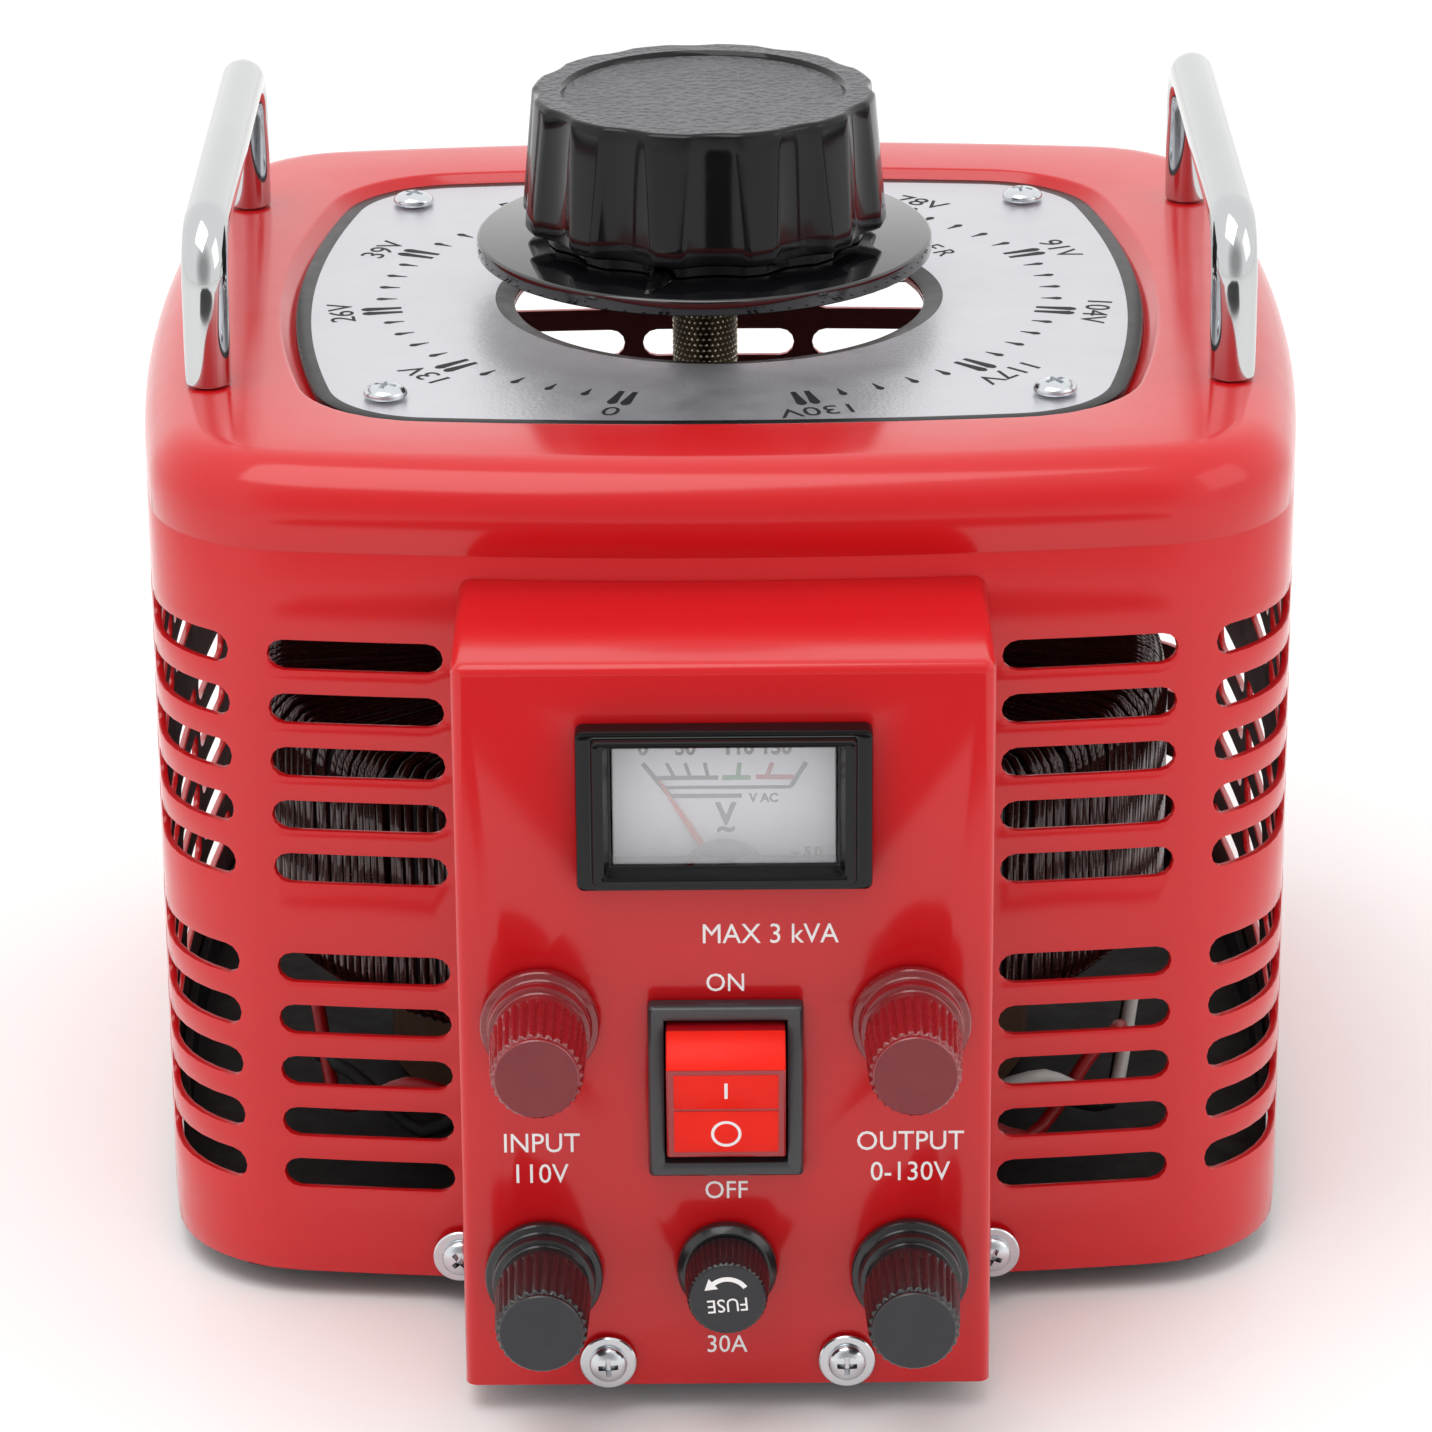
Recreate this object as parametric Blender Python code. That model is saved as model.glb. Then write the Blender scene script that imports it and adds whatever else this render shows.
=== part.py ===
"""Bench variable autotransformer: a louvred steel case round a toroidal coil, with a dial on top.

Frame: metres, +Z up, +Y to the back, +X to the right of someone facing the control box.
Z = 0 is the bench under the rubber feet, and X = Y = 0 is the centre of the whole object's box.
The case's own centre stands at CASE_Y, and the dial's shaft stands SHAFT_X beside it.
"""
import math

import bmesh
import bpy
from mathutils import Matrix, Vector

# ---- driving dimensions, in metres ----
GAP = 0.0003                # clearance between neighbouring pieces
FOOT_HEIGHT = 0.005
FOOT_RADIUS = 0.0080
FOOT_X = 0.0800
FOOT_Y = 0.0790             # from the case's centre

CASE_Y = 0.03065            # the case's centre in the object's frame
CASE_HALF = 0.1022          # half the width and half the depth, over the bulged sides
CASE_SIDE_RADIUS = 0.560    # plan radius of each bulged side
CASE_CORNER_RADIUS = 0.027
CASE_HEIGHT = 0.1484
CASE_EDGE_RADIUS = 0.0095   # rounded top edge
CASE_WALL = 0.0012
RECESS_DEPTH = 0.0026       # shallow tray that the dial plate lies in
RECESS_STEP = 0.0022        # width of its sloping side
DIAL_HOLE_RADIUS = 0.0370

PLATE_HALF_X = 0.0760
PLATE_HALF_Y = 0.0737
PLATE_FRONT_RADIUS = 0.500
PLATE_SIDE_RADIUS = 0.250
PLATE_CORNER_RADIUS = 0.0220
PLATE_THICKNESS = 0.0010
PLATE_SCREW = 0.0576        # screws stand at plus and minus this in X and Y

SLOT_WIDTH = 0.0300
SLOT_HEIGHT = 0.0055
SLOT_FIRST = 0.0619         # along the wall, from the middle of the front
SLOT_SECOND = 0.0990        # the one round the front corner
SLOT_COLUMNS = 9            # from that one to the middle of the back
SLOT_TOP_ROW = 0.1150
SLOT_LOW_ROW = 0.0577
SLOT_PITCH = 0.0097
SLOT_ROWS = 5               # in each of the two groups

BASE_THICKNESS = 0.0015
BASE_RIM = 0.0100

BOX_WIDTH = 0.0880
BOX_HEIGHT = 0.1295
BOX_FRONT = 0.1410          # from the case's centre to the panel's face
BOX_WALL = 0.0015
WIRE_WAY = (0.0250, 0.0300, 0.0800)   # half width, low edge and high edge of the hole behind the box

METER_X = 0.0480
METER_Z = 0.0278
METER_HEIGHT = 0.1056       # centre, above the case's bottom edge
METER_PROUD = 0.0062
METER_DEPTH = 0.0180
METER_PIVOT = 0.0156        # the needle's pivot, below the meter's centre
METER_REST = math.radians(31)   # the needle's lean to the left at zero
METER_HUB_RADIUS = 0.0077

SWITCH_X = 0.0256
SWITCH_Z = 0.0310
SWITCH_HEIGHT = 0.0552
SWITCH_PROUD = 0.0030
SWITCH_FRAME = 0.0027
SWITCH_DEPTH = 0.0200
ROCKER_PIVOT = 0.0015       # behind the panel's face
ROCKER_RADIUS = 0.0125      # of its round ends, about the pivot
ROCKER_FACE = 0.0085        # from the pivot to the ends of its hollow face
ROCKER_TILT = math.radians(15)

POST_X = 0.0305
POST_HIGH = 0.0668
POST_LOW = 0.0210
POST_LENGTH = 0.0225        # from the panel to the end of the cap
POST_FLANGE_RADIUS = 0.0098

FUSE_HEIGHT = 0.0222
FUSE_LENGTH = 0.0130
FUSE_FLANGE_RADIUS = 0.0083
FUSE_LINK_RADIUS = 0.0030

PANEL_SCREW_X = 0.0200
CASE_SCREW_X = 0.0462
SCREW_HEIGHT = 0.0047
SCREW_HOLE_RADIUS = 0.0023
PLATE_HOLE_RADIUS = 0.0022
WASHER_RADIUS = 0.0047
WASHER_THICKNESS = 0.0007
PANEL_HEAD = (0.0032, 0.0024)   # radius and height
PANEL_SHANK_RADIUS = 0.0018
PANEL_SHANK_LENGTH = 0.0090
CASE_SHANK_LENGTH = 0.0080
DIAL_HEAD = (0.0038, 0.0022)
DIAL_SHANK_RADIUS = 0.0019
DIAL_SHANK_LENGTH = 0.0060

HANDLE_X = 0.0883
HANDLE_Y = 0.0535
HANDLE_RADIUS = 0.0040
HANDLE_RISE = 0.0265        # from the case's top to the grip's centre line
HANDLE_BEND = 0.0090

COIL_RADIUS = 0.0850
COIL_BORE = 0.0380
COIL_BOTTOM = 0.0320        # above the case's bottom edge
COIL_TOP = 0.0820
COIL_WIRE = 0.0030          # how thick the winding lies on the core
COIL_GAP_ANGLE = math.radians(24)
STAND_INNER_RADIUS = 0.0300
STAND_OUTER_RADIUS = 0.0600
SPOOL_RADIUS = 0.0280       # the clamp's body, inside the coil's bore
CLAMP_RADIUS = 0.0500       # its flange on top of the coil
CLAMP_THICKNESS = 0.0030
BUSH_RADIUS = 0.0110
BUSH_FLANGE_RADIUS = 0.0140

SHAFT_X = -0.0026           # the shaft stands slightly left of the case's middle
SHAFT_RADIUS = 0.0040
COLLAR_RADIUS = 0.0059
SKIRT_RADIUS = 0.0410
SKIRT_LOW = 0.1558
SKIRT_THICKNESS = 0.0031
KNOB_TOP = 0.1856
KNOB_TOP_RADIUS = 0.0305
KNOB_FOOT_RADIUS = 0.0328
KNOB_FLUTES = 12
KNOB_UNDERCUT = 0.0045      # the foot draws in below the fluted grip
DIAL_ZERO_ANGLE = math.radians(15.2)  # the pointer stands this far left of the front at rest

SIDE_STEPS = 2              # straight facets along half a bulged side
CORNER_STEPS = 4

FLOOR = FOOT_HEIGHT         # the case's bottom edge
SEAT = FLOOR + CASE_HEIGHT - RECESS_DEPTH        # upper face of the recess
PANEL_Y = CASE_Y - BOX_FRONT
# A case screw's washer touches the bulged wall at the washer's inner side.
CASE_SCREW_Y = CASE_Y - CASE_HALF + (CASE_SCREW_X - 0.0050) ** 2 / (2.0 * CASE_SIDE_RADIUS) - GAP


def finish(name, red, green, blue, roughness, metallic=0.0, alpha=1.0):
    """Make one Principled material."""
    material = bpy.data.materials.new(name)
    material.use_nodes = True
    shader = material.node_tree.nodes["Principled BSDF"]
    shader.inputs["Base Color"].default_value = (red, green, blue, 1.0)
    shader.inputs["Roughness"].default_value = roughness
    shader.inputs["Metallic"].default_value = metallic
    shader.inputs["Alpha"].default_value = alpha
    return material


def new_object(name, shape, look, place=(0.0, 0.0, 0.0), turn=(0.0, 0.0, 0.0), smooth=None):
    """Turn a bmesh into a named object whose faces point outwards."""
    bmesh.ops.recalc_face_normals(shape, faces=shape.faces)
    mesh = bpy.data.meshes.new(name)
    shape.to_mesh(mesh)
    shape.free()
    if smooth is not None:
        mesh.shade_smooth()
        mesh.set_sharp_from_angle(angle=math.radians(smooth))
    mesh.materials.append(look)
    thing = bpy.data.objects.new(name, mesh)
    thing.location = place
    thing.rotation_euler = turn
    bpy.context.scene.collection.objects.link(thing)
    return thing


def lofted(loops, ring=False):
    """Join equal loops of points by quads. A ring closes on its first loop, else both ends are capped."""
    shape = bmesh.new()
    rows = [[shape.verts.new(point) for point in loop] for loop in loops]
    pairs = list(zip(rows, rows[1:]))
    if ring:
        pairs.append((rows[-1], rows[0]))
    else:
        shape.faces.new(list(reversed(rows[0])))
        shape.faces.new(rows[-1])
    for low, high in pairs:
        for index in range(len(low)):
            after = (index + 1) % len(low)
            shape.faces.new((low[index], low[after], high[after], high[index]))
    return shape


def turned(profile, segments, ring=False):
    """Turn (radius, height) points about Z. A ring's profile closes on itself."""
    loops = []
    for radius, height in profile:
        angles = [2.0 * math.pi * step / segments for step in range(segments)]
        loops.append([(radius * math.cos(a), radius * math.sin(a), height) for a in angles])
    return lofted(loops, ring)


def block(low, high):
    """A rectangular solid between two corners."""
    shape = bmesh.new()
    bmesh.ops.create_cube(shape, size=1.0)
    low = Vector(low)
    high = Vector(high)
    size = high - low
    bmesh.ops.scale(shape, vec=size, verts=shape.verts)
    bmesh.ops.translate(shape, vec=(low + high) / 2.0, verts=shape.verts)
    return shape


def bevelled_block(low, high, width):
    """A rectangular solid with its edges taken off."""
    shape = block(low, high)
    bmesh.ops.bevel(shape, geom=shape.edges[:], offset=width, segments=1, affect="EDGES")
    return shape


def joined(shapes):
    """Put several bmeshes that don't touch into one, as the cutter of a row of holes."""
    whole = bmesh.new()
    for shape in shapes:
        mesh = bpy.data.meshes.new("piece")
        shape.to_mesh(mesh)
        shape.free()
        whole.from_mesh(mesh)
        bpy.data.meshes.remove(mesh)
    return whole


def cut(thing, name, shape, operation="DIFFERENCE"):
    """Cut a shape out of an object, or add it, with a Boolean whose tool is hidden."""
    tool = new_object(name, shape, thing.data.materials[0])
    tool.hide_render = True
    tool.display_type = "WIRE"
    modifier = thing.modifiers.new(name, "BOOLEAN")
    modifier.object = tool
    modifier.operation = operation
    modifier.solver = "EXACT"


def rounded_plan(half_x, half_y, front_radius, side_radius, corner_radius, inset=0.0):
    """Points round a plan with bulged sides and round corners, from the middle of the front, clockwise.

    The four sides are arcs, and each corner is an arc that touches two of them, so an inset keeps every
    centre and only shortens the radii.
    """
    front = Vector((0.0, front_radius - half_y))
    right = Vector((half_x - side_radius, 0.0))
    reach_front = front_radius - corner_radius
    reach_right = side_radius - corner_radius
    between = right - front
    along = (reach_front ** 2 - reach_right ** 2 + between.length ** 2) / (2.0 * between.length)
    middle = front + between.normalized() * along
    rise = math.sqrt(reach_front ** 2 - along ** 2)
    across = Vector((-between.y, between.x)).normalized()
    corner = middle + across * rise
    if corner.x < 0.0:
        corner = middle - across * rise
    from_front = math.atan2(corner.y - front.y, corner.x - front.x)
    from_right = math.atan2(corner.y - right.y, corner.x - right.x)
    points = []
    arcs = [
        (front, front_radius - inset, -math.pi / 2.0, from_front, SIDE_STEPS),
        (corner, corner_radius - inset, from_front, from_right, CORNER_STEPS),
        (right, side_radius - inset, from_right, 0.0, SIDE_STEPS),
    ]
    for centre, radius, start, end, steps in arcs:
        for step in range(steps):
            angle = start + (end - start) * step / steps
            points.append((centre.x + radius * math.cos(angle), centre.y + radius * math.sin(angle)))
    points.append((half_x - inset, 0.0))
    quarter = points[1:-1]
    points += [(x, -y) for x, y in reversed(quarter)]
    points.append((0.0, half_y - inset))
    points += [(-x, -y) for x, y in quarter]
    points.append((-half_x + inset, 0.0))
    points += [(-x, y) for x, y in reversed(quarter)]
    return points


def case_plan(inset=0.0):
    """The case's plan about its own centre."""
    return rounded_plan(CASE_HALF, CASE_HALF, CASE_SIDE_RADIUS, CASE_SIDE_RADIUS, CASE_CORNER_RADIUS, inset)


def plate_plan(inset=0.0):
    """The dial plate's plan about the case's centre."""
    return rounded_plan(PLATE_HALF_X, PLATE_HALF_Y, PLATE_FRONT_RADIUS, PLATE_SIDE_RADIUS,
                        PLATE_CORNER_RADIUS, inset)


def level(plan, height):
    """Lift a plan to a height."""
    return [(x, y, height) for x, y in plan]


def hole_loop(plan, radius, height):
    """A circle with a point in the direction of each point of a plan."""
    loop = []
    for x, y in plan:
        angle = math.atan2(y, x)
        loop.append((radius * math.cos(angle), radius * math.sin(angle), height))
    return loop


def walk(plan, distance):
    """Return the place and the outward normal at a distance along a closed plan."""
    for index, start in enumerate(plan):
        start = Vector(start)
        step = Vector(plan[(index + 1) % len(plan)]) - start
        if distance <= step.length:
            return start + step.normalized() * distance, Vector((step.y, -step.x)).normalized()
        distance -= step.length
    return Vector(plan[0]), Vector((0.0, -1.0))


def across(radius, low, high, place):
    """A round cutter along Y about a place, from its front end to its back end."""
    drill = turned([(radius, low), (radius, high)], 12)
    bmesh.ops.transform(drill, matrix=Matrix.Translation(place) @ Matrix.Rotation(math.pi / 2.0, 4, "X"),
                        verts=drill.verts)
    return drill


def case_screw_holes():
    """Cutters of the two holes through the case's wall and the tray's rim."""
    y = CASE_Y - CASE_HALF + 0.002
    return [across(SCREW_HOLE_RADIUS, -0.006, 0.006, (x, y, FLOOR + SCREW_HEIGHT))
            for x in (-CASE_SCREW_X, CASE_SCREW_X)]


def dial_screw_holes(radius, reach, height):
    """Cutters of the four holes of the dial plate's screws."""
    holes = []
    for x in (-PLATE_SCREW, PLATE_SCREW):
        for y in (-PLATE_SCREW, PLATE_SCREW):
            hole = turned([(radius, -reach), (radius, reach)], 12)
            bmesh.ops.translate(hole, vec=(x, CASE_Y + y, height), verts=hole.verts)
            holes.append(hole)
    return holes


def slot_centres():
    """Distances along the wall, from the middle of the front, of one side's slot columns."""
    plan = case_plan()
    length = sum((Vector(plan[i]) - Vector(plan[i - 1])).length for i in range(len(plan)))
    pitch = (length / 2.0 - SLOT_SECOND) / (SLOT_COLUMNS - 1)
    return [SLOT_FIRST] + [SLOT_SECOND + pitch * step for step in range(SLOT_COLUMNS)]


def slot_rows():
    """Heights of the slots above the case's bottom edge."""
    heights = []
    for top in (SLOT_TOP_ROW, SLOT_LOW_ROW):
        heights += [top - SLOT_PITCH * step for step in range(SLOT_ROWS)]
    return heights


def slot_tool():
    """Every ventilation slot of the case, as one cutter."""
    plan = case_plan()
    depth = 0.012
    shapes = []
    for number, distance in enumerate(slot_centres()):
        at_back = number == SLOT_COLUMNS
        for side in (1,) if at_back else (1, -1):
            first, _ = walk(plan, distance - SLOT_WIDTH / 2.0)
            last, _ = walk(plan, distance + SLOT_WIDTH / 2.0)
            along = last - first
            middle, _ = walk(plan, distance)
            centre = (first + last + middle) / 3.0
            angle = math.atan2(along.y, along.x)
            for height in slot_rows():
                shape = block((-along.length / 2.0, -depth, -SLOT_HEIGHT / 2.0),
                              (along.length / 2.0, depth, SLOT_HEIGHT / 2.0))
                place = Matrix.Translation((side * centre.x, centre.y + CASE_Y, FLOOR + height))
                bmesh.ops.transform(shape, matrix=place @ Matrix.Rotation(side * angle, 4, "Z"),
                                    verts=shape.verts)
                shapes.append(shape)
    return joined(shapes)


def make_case(look):
    """The deep-drawn cover: open below, with a recessed top and a round hole for the shaft."""
    edge = CASE_EDGE_RADIUS
    loops = [level(case_plan(CASE_WALL), 0.0), level(case_plan(), 0.0)]
    arc_steps = 3
    for step in range(arc_steps + 1):
        angle = math.pi / 2.0 * step / arc_steps
        loops.append(level(case_plan(edge * (1.0 - math.cos(angle))),
                           CASE_HEIGHT - edge + edge * math.sin(angle)))
    recess = CASE_HEIGHT - RECESS_DEPTH
    loops.append(level(plate_plan(-GAP - RECESS_STEP), CASE_HEIGHT))
    loops.append(level(plate_plan(-GAP), recess))
    loops.append(hole_loop(case_plan(), DIAL_HOLE_RADIUS, recess))
    loops.append(hole_loop(case_plan(), DIAL_HOLE_RADIUS, recess - CASE_WALL))
    loops.append(level(plate_plan(-GAP - CASE_WALL / 2.0), recess - CASE_WALL))
    loops.append(level(plate_plan(-GAP - RECESS_STEP - CASE_WALL / 2.0), CASE_HEIGHT - CASE_WALL))
    for step in reversed(range(arc_steps + 1)):
        angle = math.pi / 2.0 * step / arc_steps
        inner = edge - CASE_WALL
        loops.append(level(case_plan(CASE_WALL + inner * (1.0 - math.cos(angle))),
                           CASE_HEIGHT - edge + inner * math.sin(angle)))
    cover = new_object("case_cover", lofted(loops, ring=True), look, (0.0, CASE_Y, FLOOR), smooth=40)
    cut(cover, "case_slots_tool", slot_tool())
    half, low, high = WIRE_WAY
    cut(cover, "wire_way_tool", block((-half, CASE_Y - CASE_HALF - 0.01, FLOOR + low),
                                      (half, CASE_Y - CASE_HALF + 0.01, FLOOR + high)))
    holes = dial_screw_holes(SCREW_HOLE_RADIUS, 0.004, SEAT) + case_screw_holes()
    cut(cover, "case_holes_tool", joined(holes))


def make_base(look, rubber):
    """The steel tray that closes the case below, and its four rubber feet."""
    rim = CASE_WALL + GAP
    wall = rim + BASE_THICKNESS
    loops = [
        level(case_plan(rim), 0.0),
        level(case_plan(rim), BASE_RIM),
        level(case_plan(wall), BASE_RIM),
        level(case_plan(wall), BASE_THICKNESS),
    ]
    tray = new_object("base_plate", lofted(loops), look, (0.0, CASE_Y, FLOOR), smooth=40)
    cut(tray, "base_holes_tool", joined(case_screw_holes()))
    foot = [(FOOT_RADIUS * 0.86, 0.0), (FOOT_RADIUS, 0.0016), (FOOT_RADIUS, FOOT_HEIGHT - GAP)]
    for side, x in (("left", -FOOT_X), ("right", FOOT_X)):
        for end, y in (("front", -FOOT_Y), ("back", FOOT_Y)):
            new_object(f"foot_{end}_{side}", turned(foot, 14), rubber, (x, CASE_Y + y, 0.0), smooth=40)


def panel_hole(x, z, half_x, half_z):
    """A rectangular cutter through the panel, about a point above the case's bottom edge."""
    return block((x - half_x, PANEL_Y - 0.004, FLOOR + z - half_z),
                 (x + half_x, PANEL_Y + BOX_WALL + 0.004, FLOOR + z + half_z))


def round_panel_hole(x, z, radius):
    """A round cutter through the panel."""
    return across(radius, -0.006, 0.004, (x, PANEL_Y, FLOOR + z))


def make_control_box(look, steel):
    """The folded sheet box in front of the case, open behind and below, and the bracket it screws to."""
    half = BOX_WIDTH / 2.0
    back = CASE_Y - CASE_HALF + 0.010
    shape = block((-half, PANEL_Y, FLOOR), (half, back, FLOOR + BOX_HEIGHT))
    folds = [edge for edge in shape.edges
             if all(v.co.z > FLOOR + BOX_HEIGHT / 2.0 and v.co.y < PANEL_Y + 0.001 for v in edge.verts)]
    bmesh.ops.bevel(shape, geom=folds, offset=0.0020, segments=2, affect="EDGES")
    box = new_object("control_box", shape, look, smooth=30)
    cut(box, "box_hollow_tool", block((-half + BOX_WALL, PANEL_Y + BOX_WALL, FLOOR - 0.01),
                                      (half - BOX_WALL, back + 0.01, FLOOR + BOX_HEIGHT - BOX_WALL)))
    case_tool = lofted([level(case_plan(-GAP), FLOOR - 0.02), level(case_plan(-GAP), FLOOR + 0.16)])
    bmesh.ops.translate(case_tool, vec=(0.0, CASE_Y, 0.0), verts=case_tool.verts)
    cut(box, "box_back_tool", case_tool)
    notch_radius = WASHER_RADIUS + 0.0005
    notches = [across(notch_radius, -0.0060, 0.0045, (x, CASE_SCREW_Y, FLOOR + SCREW_HEIGHT))
               for x in (-CASE_SCREW_X, CASE_SCREW_X)]
    cut(box, "box_notches_tool", joined(notches))
    holes = [
        panel_hole(0.0, METER_HEIGHT + 0.0003, 0.0215, 0.0125),
        panel_hole(0.0, SWITCH_HEIGHT, 0.0112, 0.0139),
        round_panel_hole(0.0, FUSE_HEIGHT, 0.0062),
        round_panel_hole(-PANEL_SCREW_X, SCREW_HEIGHT, 0.0022),
        round_panel_hole(PANEL_SCREW_X, SCREW_HEIGHT, 0.0022),
    ]
    holes += [round_panel_hole(x, z, 0.0050) for x in (-POST_X, POST_X) for z in (POST_HIGH, POST_LOW)]
    cut(box, "panel_holes_tool", joined(holes))

    inner = half - BOX_WALL - GAP
    face = PANEL_Y + BOX_WALL + GAP
    lip = block((-inner, face, FLOOR), (inner, CASE_Y - CASE_HALF - GAP, FLOOR + 0.0120))
    bracket = new_object("panel_bracket", lip, steel)
    cut(bracket, "bracket_bend_tool", block((-inner - 0.01, face + 0.0015, FLOOR + 0.0015),
                                            (inner + 0.01, CASE_Y - 0.05, FLOOR + 0.03)))
    holes = [round_panel_hole(x, SCREW_HEIGHT, 0.0022) for x in (-PANEL_SCREW_X, PANEL_SCREW_X)]
    cut(bracket, "bracket_holes_tool", joined(holes))


def screw(name, look, place, turn, head, shank_radius, shank_length, lift):
    """A pan-head screw with a driver recess, on a washer as thick as its lift, if it has one.

    Its head or washer rests on Z = 0 and its shank runs down.
    """
    head_radius, head_height = head
    under = [(shank_radius, -shank_length), (shank_radius, 0.0)]
    if lift:
        under += [(WASHER_RADIUS, 0.0), (WASHER_RADIUS, lift)]
    above = [(head_radius, lift), (head_radius, lift + head_height * 0.5),
             (head_radius * 0.6, lift + head_height), (head_radius * 0.35, lift + head_height),
             (head_radius * 0.15, lift + head_height * 0.4)]
    new_object(name, turned(under + above, 12), look, place, turn, smooth=40)


def make_screws(steel):
    """The dial plate's four screws, the panel's two and the two that hold the case to its tray."""
    plate_top = SEAT + GAP + PLATE_THICKNESS + GAP
    for side, x in (("left", -PLATE_SCREW), ("right", PLATE_SCREW)):
        for end, y in (("front", -PLATE_SCREW), ("back", PLATE_SCREW)):
            screw(f"dial_screw_{end}_{side}", steel, (x, CASE_Y + y, plate_top), (0.0, 0.0, 0.0),
                  DIAL_HEAD, DIAL_SHANK_RADIUS, DIAL_SHANK_LENGTH, 0.0)
    forward = (math.pi / 2.0, 0.0, 0.0)
    for side, x in (("left", -PANEL_SCREW_X), ("right", PANEL_SCREW_X)):
        screw(f"panel_screw_{side}", steel, (x, PANEL_Y - GAP, FLOOR + SCREW_HEIGHT), forward,
              PANEL_HEAD, PANEL_SHANK_RADIUS, PANEL_SHANK_LENGTH, WASHER_THICKNESS)
    for side, x in (("left", -CASE_SCREW_X), ("right", CASE_SCREW_X)):
        screw(f"case_screw_{side}", steel, (x, CASE_SCREW_Y, FLOOR + SCREW_HEIGHT), forward,
              PANEL_HEAD, PANEL_SHANK_RADIUS, CASE_SHANK_LENGTH, WASHER_THICKNESS)


def make_dial_plate(look):
    """The scale plate, with its shaft hole and four screw holes."""
    plan = plate_plan()
    bottom = SEAT + GAP
    loops = [
        level(plan, 0.0),
        level(plan, PLATE_THICKNESS),
        hole_loop(plan, DIAL_HOLE_RADIUS, PLATE_THICKNESS),
        hole_loop(plan, DIAL_HOLE_RADIUS, 0.0),
    ]
    plate = new_object("dial_plate", lofted(loops, ring=True), look, (0.0, CASE_Y, bottom))
    cut(plate, "plate_holes_tool", joined(dial_screw_holes(PLATE_HOLE_RADIUS, 0.003, bottom)))


def handle_path():
    """The centre line of a handle in its own plane: up, along and down, with round bends."""
    top = HANDLE_RISE
    points = [(-HANDLE_Y, GAP)]
    steps = 5
    for side in (-1, 1):
        centre = (side * (HANDLE_Y - HANDLE_BEND), top - HANDLE_BEND)
        start = math.pi if side < 0 else math.pi / 2.0
        for step in range(steps + 1):
            angle = start - math.pi / 2.0 * step / steps
            points.append((centre[0] + HANDLE_BEND * math.cos(angle),
                           centre[1] + HANDLE_BEND * math.sin(angle)))
    points.append((HANDLE_Y, GAP))
    return points


def make_handles(look):
    """Two fixed bar handles that run front to back along the case's shoulders."""
    segments = 10
    for side, x in (("left", -HANDLE_X), ("right", HANDLE_X)):
        path = handle_path()
        loops = []
        for index, (y, z) in enumerate(path):
            before = Vector(path[max(index - 1, 0)])
            after = Vector(path[min(index + 1, len(path) - 1)])
            along = (after - before).normalized()
            loop = []
            for step in range(segments):
                angle = 2.0 * math.pi * step / segments
                out = HANDLE_RADIUS * math.sin(angle)
                loop.append((HANDLE_RADIUS * math.cos(angle), y - along.y * out, z + along.x * out))
            loops.append(loop)
        new_object(f"handle_{side}", lofted(loops), look, (x, CASE_Y, FLOOR + CASE_HEIGHT), smooth=60)


def swept_ring(profile, start, end, steps):
    """Sweep a closed (radius, height) profile round Z between two angles, capped at both ends."""
    loops = []
    for step in range(steps + 1):
        angle = start + (end - start) * step / steps
        loops.append([(r * math.cos(angle), r * math.sin(angle), z) for r, z in profile])
    return lofted(loops)


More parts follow.
